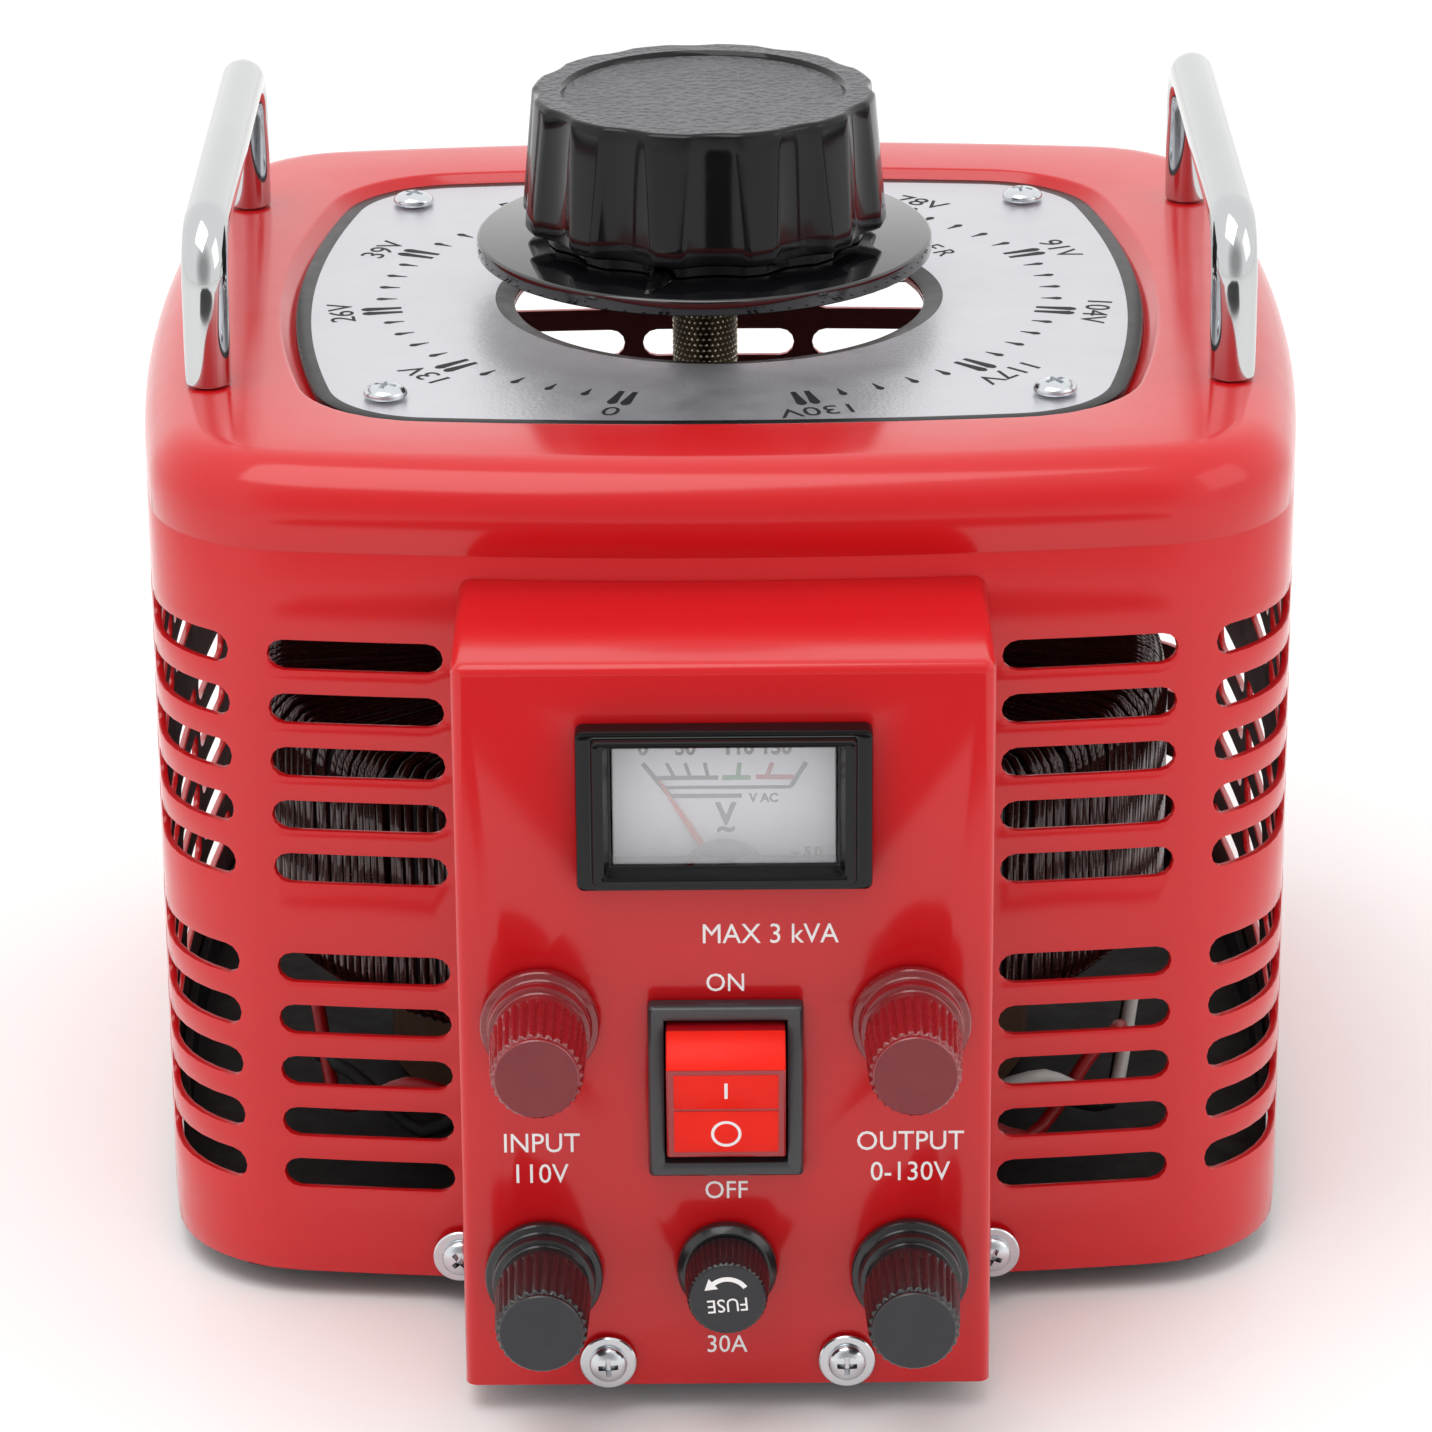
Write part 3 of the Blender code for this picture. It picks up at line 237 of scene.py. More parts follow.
# Painted shade for the case's floor: near black, standing in for the shade inside the case under the coil.
CASE_FLOOR_SHADE = Finish("near_black_case_floor_shade", "1E1718", "151112", (0.5, 0.65), 15.0, specular=0.3)
# Bright chromium plate: a clean mirror, slightly blue.
CHROME = Finish("bright_chromium_plate", "C9CBCC", "C1C3C4", (0.06, 0.11), 20.0, metallic=1.0)
# Bright zinc plate on steel screws: whiter and softer than chromium.
ZINC = Finish("bright_zinc_plate", "DADDE0", "C9CDD2", (0.12, 0.24), 3.0, metallic=1.0, grain=Grain.BRUSHED,
              grain_size=0.3, grain_depth=0.01)
# Hot-dip zinc on the sheet parts inside: dull silver with soft flecks.
GALVANISED = Finish("galvanised_sheet_steel", "AEB2B6", "9A9FA5", (0.35, 0.5), 9.0, metallic=1.0)
# Dark bronze sleeve under the knurl: painted shade in the hollows between the pips.
KNURL_HOLLOW_SHADE = Finish("dark_bronze_sleeve_painted_shade", "4A4032", "332B21", (0.28, 0.42), 2.0, metallic=1.0)
# The knurl's pips: pale bright metal, a painted highlight on their crests.
KNURL_PIP_HIGHLIGHT = Finish("knurl_pips_painted_highlight", "E4DAC2", "C9BEA4", (0.2, 0.32), 2.0, metallic=1.0)
# Moulded nitrile rubber: dark grey and matt.
RUBBER = Finish("nitrile_rubber", "1B1B1C", "222223", (0.65, 0.8), 6.0, grain=Grain.SAND, grain_size=0.8,
                grain_depth=0.02)
# Red thermoset moulding of the upper posts: deep, slightly soaked with light.
RED_MOULDING = Finish("red_melamine_moulding", "8A151C", "761017", (0.22, 0.34), 8.0, coat=0.6, glow=0.06,
                      grain=Grain.PEEL, grain_size=1.2, grain_depth=0.01)
# Black nylon of the lower posts and the fuse holder: satin, with a faint tool texture.
NYLON = Finish("black_nylon_moulding", "151517", "1C1C1F", (0.26, 0.38), 8.0, coat=0.3, grain=Grain.PEEL,
               grain_size=1.0, grain_depth=0.01)
# Satin faces turned on the posts' ends: a shade lighter, because they scatter the light.
RED_SATIN = Finish("red_moulding_turned_end", "7C262D", "6E2128", (0.5, 0.6), 5.0, grain=Grain.SAND,
                   grain_size=0.5, grain_depth=0.02)
NYLON_SATIN = Finish("black_nylon_turned_end", "2C2C30", "26262A", (0.5, 0.6), 5.0, grain=Grain.SAND,
                     grain_size=0.5, grain_depth=0.02)
# Switch frame of glass-filled nylon: satin charcoal.
FRAME_NYLON = Finish("glass_filled_nylon", "2B2B2F", "343438", (0.3, 0.42), 6.0, coat=0.3, grain=Grain.SAND,
                     grain_size=0.6, grain_depth=0.012)
# Clear red polycarbonate: darker at the rim, where one looks through more of it. The bright lens red also colours the
# rocker's upper end as a painted highlight of the light from above.
LENS_RIM = Finish("red_polycarbonate_rim", "A80C18", "960A14", (0.12, 0.2), 6.0, coat=0.5, glow=0.2)
LENS = Finish("red_polycarbonate_lens_and_lit_top", "FF2A16", "F02018", (0.3, 0.4), 6.0, specular=0.15, glow=0.25)
# Printed meter card: cool white paper.
CARD = Finish("meter_card", "F8F6FF", "F2F0FC", (0.45, 0.55), 10.0, grain=Grain.SAND, grain_size=0.3,
              grain_depth=0.004)
# Polished acrylic window: almost nothing but its gloss and its bright edges.
ACRYLIC = Finish("clear_acrylic", "8E8E94", "86868C", (0.02, 0.04), 15.0, coat=0.3, clear=1.0)
# Smoked polystyrene cover over the needle's pivot: grey and half see-through.
SMOKED = Finish("smoked_polystyrene", "77777F", "6C6C74", (0.12, 0.2), 5.0, coat=0.8, clear=0.35)
# Lacquered aluminium needle: orange red.
NEEDLE = Finish("orange_needle_lacquer", "DC2E08", "CC2806", (0.4, 0.5), 5.0, specular=0.2)
# Inks of the print on the card, the plate and the panel, rolled on thinly.
GREY_INK = Finish("dark_grey_ink", "24242C", "1E1E26", (0.6, 0.7), 4.0, specular=0.1)
GREEN_INK = Finish("green_ink", "0E8A4A", "0C7E43", (0.6, 0.7), 4.0, specular=0.1)
PINK_INK = Finish("crimson_ink", "C02050", "B41B49", (0.6, 0.7), 4.0, specular=0.1)
BLACK_INK = Finish("black_ink", "1A1A1D", "141417", (0.5, 0.6), 4.0, specular=0.2)
WHITE_INK = Finish("white_panel_ink", "F5F2F2", "EDEAEA", (0.4, 0.5), 6.0)
# Polyester enamel on copper wire: dark red-brown with a hard shine along each turn.
MAGNET_WIRE = Finish("enamelled_copper_wire", "4A1C18", "2E1210", (0.16, 0.3), 3.0, metallic=0.3, coat=0.8)
# Soft plastic sleeves of the leads inside: plain colours, slightly waxy.
LEAD_RED = Finish("red_lead_sleeve", "C4181E", "B0141A", (0.3, 0.4), 5.0)
LEAD_WHITE = Finish("white_lead_sleeve", "E8E6E2", "DCDAD5", (0.3, 0.4), 5.0)
# Stacked silicon steel under varnish: blue-grey.
CORE_STEEL = Finish("varnished_core_steel", "5A5D63", "4B4E54", (0.3, 0.45), 4.0, metallic=0.8,
                    grain=Grain.BRUSHED, grain_size=0.5, grain_depth=0.04)
# Pressed fibre board: warm brown, matt, with short fibres.
FIBRE = Finish("vulcanised_fibre", "6B4A35", "5A3D2B", (0.55, 0.7), 5.0, grain=Grain.SAND, grain_size=0.9,
               grain_depth=0.04)
# Sand-cast aluminium: pale grey, grainy.
CAST = Finish("cast_aluminium", "B4B7BA", "A3A6AA", (0.38, 0.52), 6.0, metallic=1.0, grain=Grain.SAND,
              grain_size=0.7, grain_depth=0.06)
# Pressed carbon: black with a soft graphite shine.
CARBON = Finish("pressed_carbon", "26262A", "1C1C20", (0.35, 0.5), 2.0, grain=Grain.SAND, grain_size=0.3,
                grain_depth=0.02)
# Turned brass: warm yellow metal.
BRASS = Finish("turned_brass", "C9A14E", "B88F40", (0.16, 0.28), 3.0, metallic=1.0, grain=Grain.BRUSHED,
               grain_size=0.3, grain_depth=0.01)
# Ground steel shaft.
STEEL = Finish("ground_steel", "B9BBBE", "A6A9AD", (0.18, 0.28), 4.0, metallic=1.0, grain=Grain.BRUSHED,
               grain_size=0.3, grain_depth=0.008)
# Glass tube of the fuse cartridge.
GLASS = Finish("fuse_glass", "D8E2E2", "CBD6D6", (0.03, 0.06), 5.0, coat=1.0, clear=0.5)
# Pale lacquered bench.
BENCH = Finish("pale_bench_laminate", "F4F3F2", "F1F0EF", (0.5, 0.6), 300.0)


def linked(name: str, data: bpy.types.ID) -> bpy.types.Object:
    """Makes an object and links it to the scene.

    Args:
        name: the object's name.
        data: the mesh, curve, camera or light that it holds.
    Returns:
        The object.
    """
    thing = bpy.data.objects.new(name, data)
    bpy.context.scene.collection.objects.link(thing)
    return thing


def loft(loops: Sequence[Sequence[Point]], ring: bool = False, looks: Sequence[int] = ()) -> bmesh.types.BMesh:
    """Joins equal loops of points by quads.

    Args:
        loops: the loops, in order.
        ring: closes the last loop on the first, instead of capping both ends.
        looks: the material number of each band, and of the two caps after them.
    Returns:
        The closed shape.
    """
    shape = bmesh.new()
    rows = [[shape.verts.new(point) for point in loop] for loop in loops]
    pairs = list(zip(rows, rows[1:]))
    if ring:
        pairs.append((rows[-1], rows[0]))
    for band, (low, high) in enumerate(pairs):
        for index in range(len(low)):
            after = (index + 1) % len(low)
            face = shape.faces.new((low[index], low[after], high[after], high[index]))
            face.material_index = looks[band] if looks else 0
    if not ring:
        caps = (shape.faces.new(list(reversed(rows[0]))), shape.faces.new(rows[-1]))
        for number, face in enumerate(caps):
            face.material_index = looks[len(pairs) + number] if looks else 0
    return shape


def circle(radius: float, height: float, count: int) -> list[Point]:
    """Returns a circle of points round Z."""
    return [(radius * math.cos(math.tau * i / count), radius * math.sin(math.tau * i / count), height)
            for i in range(count)]


def turned(profile: Sequence[Flat], count: int, ring: bool = False, looks: Sequence[int] = ()) -> bmesh.types.BMesh:
    """Turns a profile of (radius, height) pairs round Z.

    Args:
        profile: the pairs, in order.
        count: points in each circle.
        ring: joins the last pair to the first.
        looks: the material number of each band and cap.
    Returns:
        The closed shape.
    """
    return loft([circle(radius, height, count) for radius, height in profile], ring, looks)


def prism(outline: Sequence[Flat], low: float, high: float) -> bmesh.types.BMesh:
    """Stands an outline up between two heights."""
    return loft([[(x, y, height) for x, y in outline] for height in (low, high)])


def rounded_box(low: Point, high: Point, width: float, steps: int = 2) -> bmesh.types.BMesh:
    """Makes a rectangular solid with round edges.

    Args:
        low: its lowest corner.
        high: its highest corner.
        width: how far the rounding reaches from each edge.
        steps: facets across the rounding.
    Returns:
        The shape.
    """
    shape = prism([(low[0], low[1]), (high[0], low[1]), (high[0], high[1]), (low[0], high[1])], low[2], high[2])
    if width:
        bmesh.ops.bevel(shape, geom=shape.edges[:], offset=width, segments=steps, profile=0.5, affect="EDGES")
    return shape


def round_rectangle(half_x: float, low: float, high: float, radius: float, proud: float) -> list[Point]:
    """Draws a rectangle with round corners.

    Args:
        half_x: half its width.
        low: its lower edge.
        high: its upper edge.
        radius: the corners' radius.
        proud: how far it stands out of the panel.
    Returns:
        The loop of points.
    """
    loop = []
    steps = 5
    middles = ((half_x - radius, low + radius, -90.0), (half_x - radius, high - radius, 0.0),
               (radius - half_x, high - radius, 90.0), (radius - half_x, low + radius, 180.0))
    for x, z, start in middles:
        for step in range(steps + 1):
            angle = math.radians(start + 90.0 * step / steps)
            loop.append((x + radius * math.cos(angle), z + radius * math.sin(angle), proud))
    return loop


def moved(shape: bmesh.types.BMesh, matrix: Matrix) -> bmesh.types.BMesh:
    """Moves a shape and returns it."""
    bmesh.ops.transform(shape, matrix=matrix, verts=shape.verts)
    return shape


def joined(shapes: Sequence[bmesh.types.BMesh]) -> bmesh.types.BMesh:
    """Puts several shapes in one.

    Args:
        shapes: the shapes, which are used up.
    Returns:
        The whole.
    """
    whole = bmesh.new()
    for shape in shapes:
        mesh = bpy.data.meshes.new("part")
        shape.to_mesh(mesh)
        shape.free()
        whole.from_mesh(mesh)
        bpy.data.meshes.remove(mesh)
    return whole


def to_object(name: str, shape: bmesh.types.BMesh | bpy.types.Mesh, finishes: Sequence[Finish],
              smooth: float | None = 35.0) -> bpy.types.Object:
    """Makes an object that sits at the origin.

    Args:
        name: the object's name.
        shape: a bmesh, which is used up, or a mesh.
        finishes: the finishes, in the order of the material numbers.
        smooth: edges sharper than this many degrees stay hard; None leaves every face flat.
    Returns:
        The object, linked to the scene.
    """
    if isinstance(shape, bmesh.types.BMesh):
        bmesh.ops.recalc_face_normals(shape, faces=shape.faces)
        mesh = bpy.data.meshes.new(name)
        shape.to_mesh(mesh)
        shape.free()
    else:
        mesh = shape
        mesh.name = name
    if [finish.name for finish in finishes] != [material.name for material in mesh.materials if material]:
        if mesh.materials:
            mesh.materials.clear()
        for finish in finishes:
            mesh.materials.append(finish.material())
    if smooth is not None:
        mesh.shade_smooth()
        mesh.set_sharp_from_angle(angle=math.radians(smooth))
    return linked(name, mesh)


def baked(thing: bpy.types.Object) -> bpy.types.Mesh:
    """Runs an object's modifiers into a new mesh."""
    graph = bpy.context.evaluated_depsgraph_get()
    return bpy.data.meshes.new_from_object(thing.evaluated_get(graph), depsgraph=graph)


def settled(thing: bpy.types.Object) -> bpy.types.Mesh:
    """Applies an object's modifiers and removes the object.

    Args:
        thing: the object.
    Returns:
        Its finished mesh.
    """
    mesh = baked(thing)
    bpy.data.objects.remove(thing)
    return mesh


def settle(thing: bpy.types.Object) -> bpy.types.Mesh:
    """Applies an object's modifiers and keeps the object.

    Args:
        thing: the object.
    Returns:
        Its new mesh.
    """
    mesh = baked(thing)
    thing.modifiers.clear()
    thing.data = mesh
    return mesh


def cut(thing: bpy.types.Object, tools: Sequence[bmesh.types.BMesh]) -> None:
    """Cuts shapes out of an object.

    Args:
        thing: the object, which gets a plain mesh.
        tools: the cutters, which are used up.
    """
    tool = to_object("cutter", joined(tools), (), None)
    modifier = thing.modifiers.new("cut", "BOOLEAN")
    modifier.object = tool
    modifier.operation = "DIFFERENCE"
    modifier.solver = "EXACT"
    settle(thing)
    bpy.data.objects.remove(tool)


def round_edges(thing: bpy.types.Object, width: float, steps: int = 2, angle: float = 50.0) -> None:
    """Rounds an object's sharp edges in its mesh.

    Args:
        thing: the object.
        width: how far the rounding reaches.
        steps: facets across it.
        angle: edges flatter than this many degrees are left.
    """
    bevel = thing.modifiers.new("edges", "BEVEL")
    bevel.width = width
    bevel.segments = steps
    bevel.limit_method = "ANGLE"
    bevel.angle_limit = math.radians(angle)
    mesh = settle(thing)
    mesh.shade_smooth()
    mesh.set_sharp_from_angle(angle=math.radians(40.0))


def show(thing: bpy.types.Object, body: str, slot: str, *nodes: str) -> None:
    """Hands a finished piece to the frame.

    Args:
        thing: the piece.
        body: the body that it rides on.
        slot: a material slot name; not used.
        nodes: the solids that it stands for.
    """
    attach(thing, body)
    if nodes:
        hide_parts(*nodes)
    log.info("%s rides on %s with %d faces", thing.name, body, len(thing.data.polygons))


def lettering(words: str, height: float, wide: float, bold: float = 0.0) -> bmesh.types.BMesh:
    """Draws words centred on the origin in the XY plane, with their tops towards +Y.

    Args:
        words: the text.
        height: the height of a capital letter.
        wide: how much the letters are widened.
        bold: how much the strokes are thickened, as a share of the letter's size.
    Returns:
        The raised print.
    """
    curve = bpy.data.curves.new("words", "FONT")
    curve.body = words
    curve.resolution_u = 3
    curve.offset = bold
    curve.extrude = 0.03 * MM / height
    thing = linked("words", curve)
    bpy.context.view_layer.update()
    mesh = settled(thing)
    bpy.data.curves.remove(curve)
    shape = bmesh.new()
    shape.from_mesh(mesh)
    bpy.data.meshes.remove(mesh)
    bmesh.ops.remove_doubles(shape, verts=shape.verts, dist=1e-5)
    capital = 0.729         # height of a capital in the built-in face, for a size of one
    left = min(v.co.x for v in shape.verts)
    right = max(v.co.x for v in shape.verts)
    scale = height / capital
    middle = Matrix.Translation((-(left + right) / 2.0, -capital / 2.0, 0.0))
    return moved(shape, Matrix.Diagonal((scale * wide, scale, scale, 1.0)) @ middle)


def curve_object(name: str, points: Sequence[Point], closed: bool) -> bpy.types.Object:
    """Makes a curve through points.

    Args:
        name: its name.
        points: the points.
        closed: joins the last point to the first.
    Returns:
        The curve's object, linked to the scene.
    """
    curve = bpy.data.curves.new(name, "CURVE")
    curve.dimensions = "3D"
    spline = curve.splines.new("POLY")
    spline.points.add(len(points) - 1)
    for target, point in zip(spline.points, points):
        target.co = (*point, 1.0)
    spline.use_cyclic_u = closed
    return linked(name, curve)


@dataclass(frozen=True)
class Plan:
    """A plan with four bulged sides and round corners."""

    half_x: float
    half_y: float
    front_radius: float
    side_radius: float
    corner_radius: float

    def points(self, inset: float = 0.0, side_steps: int = 24, corner_steps: int = 24) -> list[Flat]:
        """Walks round the plan from the middle of the front, to the right first.

        Args:
            inset: how far inside the plan to walk.
            side_steps: steps along half a side.
            corner_steps: steps round a corner.
        Returns:
            The points.
        """
        front = Vector((0.0, self.front_radius - self.half_y))
        right = Vector((self.half_x - self.side_radius, 0.0))
        reach_front = self.front_radius - self.corner_radius
        reach_right = self.side_radius - self.corner_radius
        between = right - front
        along = (reach_front ** 2 - reach_right ** 2 + between.length ** 2) / (2.0 * between.length)
        middle = front + between.normalized() * along
        rise = math.sqrt(reach_front ** 2 - along ** 2)
        across = Vector((-between.y, between.x)).normalized()
        corner = middle + across * rise
        if corner.x < 0.0:
            corner = middle - across * rise
        from_front = math.atan2(corner.y - front.y, corner.x - front.x)
        from_right = math.atan2(corner.y - right.y, corner.x - right.x)
        arcs = (
            (front, self.front_radius - inset, -math.pi / 2.0, from_front, side_steps),
            (corner, self.corner_radius - inset, from_front, from_right, corner_steps),
            (right, self.side_radius - inset, from_right, 0.0, side_steps),
        )
        quarter = []
        for centre, radius, start, end, steps in arcs:
            for step in range(steps):
                angle = start + (end - start) * step / steps
                quarter.append((centre.x + radius * math.cos(angle), centre.y + radius * math.sin(angle)))
        quarter = quarter[1:]
        points = [(0.0, -self.half_y + inset)] + quarter + [(self.half_x - inset, 0.0)]
        points += [(x, -y) for x, y in reversed(quarter)] + [(0.0, self.half_y - inset)]
        points += [(-x, -y) for x, y in quarter] + [(-self.half_x + inset, 0.0)]
        return points + [(-x, y) for x, y in reversed(quarter)]

    def loop(self, inset: float, height: float) -> list[Point]:
        """Lifts the inset plan to a height."""
        return [(x, y, height) for x, y in self.points(inset)]


CASE_PLAN = Plan(102.2 * MM, 102.2 * MM, 560.0 * MM, 560.0 * MM, 27.0 * MM)
PLATE_PLAN = Plan(76.0 * MM, 73.7 * MM, 500.0 * MM, 250.0 * MM, 22.0 * MM)


class NodeShape:
    """A Geometry Nodes tree with named inputs, baked to plain meshes."""

    def __init__(self, name: str) -> None:
        """Starts the tree.

        Args:
            name: the tree's name.
        """
        self.tree = bpy.data.node_groups.new(name, "GeometryNodeTree")
        self.names: dict[str, str] = {}
        for way in ("INPUT", "OUTPUT"):
            self.tree.interface.new_socket("Geometry", in_out=way, socket_type="NodeSocketGeometry")
        self.entry = self.tree.nodes.new("NodeGroupInput")

    def size(self, name: str, kind: str = "Float") -> bpy.types.NodeSocket:
        """Adds a named input.

        Args:
            name: the input's name.
            kind: its socket kind, such as Float, Int, Object or Material.
        Returns:
            The socket that gives its value inside the tree.
        """
        item = self.tree.interface.new_socket(name, in_out="INPUT", socket_type=f"NodeSocket{kind}")
        self.names[name] = item.identifier
        return self.entry.outputs[name]

    def add(self, kind: str, inputs: dict | Sequence | None = None, **settings: object) -> bpy.types.Node:
        """Adds a node to this tree."""
        return add_node(self.tree, kind, inputs, **settings)

    def close(self, geometry: bpy.types.NodeSocket | bpy.types.Node) -> None:
        """Ends the tree in real geometry with its material.

        Args:
            geometry: what the tree has made.
        """
        real = self.add("GeometryNodeRealizeInstances", {"Geometry": geometry})
        dressed = self.add("GeometryNodeSetMaterial",
                           {"Geometry": real, "Material": self.size("Finish", "Material")})
        self.add("NodeGroupOutput", {"Geometry": dressed})

    def bake(self, base: bpy.types.Object, finish: Finish, values: dict[str, object]) -> bpy.types.Mesh:
        """Runs the tree on an object, which is used up.

        Args:
            base: the object that holds the tree's own geometry.
            finish: the finish of the result.
            values: the inputs, by name.
        Returns:
            The plain mesh.
        """
        modifier = base.modifiers.new("shape", "NODES")
        modifier.node_group = self.tree
        for name, value in {**values, "Finish": finish.material()}.items():
            modifier[self.names[name]] = value
        mesh = settled(base)
        for attribute in [a.name for a in mesh.attributes if a.name in ("u", "v")]:
            mesh.attributes.remove(mesh.attributes[attribute])
        return mesh


def ring_tree() -> NodeShape:
    """Makes the tree that stamps a shape round Z, in one row or many.

    Returns:
        The tree.
    """
    shape = NodeShape("stamps in a ring")
    stamp = shape.size("Stamp", "Object")
    count, rows, skip, seed = [shape.size(name, "Int") for name in ("Count", "Rows", "Skip", "Seed")]
    start, step, rise, twist, wander, lean = [
        shape.size(name) for name in ("Start", "Step", "Rise", "Twist", "Wander", "Lean")]
    index = shape.add("GeometryNodeInputIndex")
    place = shape.add(INTEGER, (index, count), operation="MODULO")
    row = shape.add(INTEGER, (index, count), operation="DIVIDE_FLOOR")
    height = shape.add(JOIN, {"Z": shape.add(MATH, (row, rise), operation="MULTIPLY")})
    total = shape.add(MATH, (count, rows), operation="MULTIPLY")
    points = shape.add("GeometryNodePoints", {"Count": total, "Position": height})
    next_seed = shape.add(MATH, (seed, 1.0), operation="ADD")
    shift, tip = [shape.add("FunctionNodeRandomValue", {"Min": -1.0, "Max": 1.0, "Seed": number},
                            data_type="FLOAT") for number in (seed, next_seed)]
    stray = shape.add(MATH, (shift, wander), operation="MULTIPLY")
    along = shape.add(MATH, (place, step, start), operation="MULTIPLY_ADD")
    offset = shape.add(MATH, (row, twist, stray), operation="MULTIPLY_ADD")
    angles = shape.add(JOIN, {"X": shape.add(MATH, (tip, lean), operation="MULTIPLY"),
                              "Z": shape.add(MATH, (along, offset), operation="ADD")})
    order = shape.add(MATH, (shape.add(MATH, (place, 1.0), operation="ADD"), skip), operation="MODULO")
    skipped = shape.add(MATH, (order, 1.0, 0.1), operation="COMPARE")
    shape.close(shape.add("GeometryNodeInstanceOnPoints", {
        "Points": points, "Selection": shape.add(MATH, (1.0, skipped), operation="SUBTRACT"),
        "Instance": shape.add("GeometryNodeObjectInfo", {"Object": stamp}).outputs["Geometry"],
        "Rotation": shape.add("FunctionNodeEulerToRotation", (angles,))}))
    return shape


def tube_tree() -> NodeShape:
    """Makes the tree that runs a round bar along a curve.

    Returns:
        The tree.
    """
    shape = NodeShape("round bar on a path")
    radius = shape.size("Radius")
    facets = shape.size("Facets", "Int")
    section = shape.add("GeometryNodeCurvePrimitiveCircle", {"Resolution": facets, "Radius": radius}, mode="RADIUS")
    bar = shape.add("GeometryNodeCurveToMesh", {"Curve": shape.entry.outputs["Geometry"],
                                                "Profile Curve": section.outputs[0], "Fill Caps": True})
    shape.close(bar)
    return shape


def spread_tree() -> NodeShape:
    """Makes the tree that sets a stamp on each point of a mesh, each turned its own way.

    Returns:
        The tree.
    """
    shape = NodeShape("stamps on points")
    stamp = shape.size("Stamp", "Object")
    tilt, seed = shape.size("Tilt"), shape.size("Seed", "Int")
    turn = shape.add("FunctionNodeRandomValue", {"Min": 0.0, "Max": math.pi, "Seed": seed}, data_type="FLOAT")
    own = shape.add("FunctionNodeEulerToRotation", (shape.add(JOIN, {"Z": turn}),))
    whole = shape.add("FunctionNodeEulerToRotation", (shape.add(JOIN, {"X": tilt}),))
    shape.close(shape.add("GeometryNodeInstanceOnPoints", {
        "Points": shape.entry.outputs["Geometry"],
        "Instance": shape.add("GeometryNodeObjectInfo", {"Object": stamp}).outputs["Geometry"],
        "Rotation": shape.add("FunctionNodeRotateRotation", (whole, own), rotation_space="LOCAL")}))
    return shape


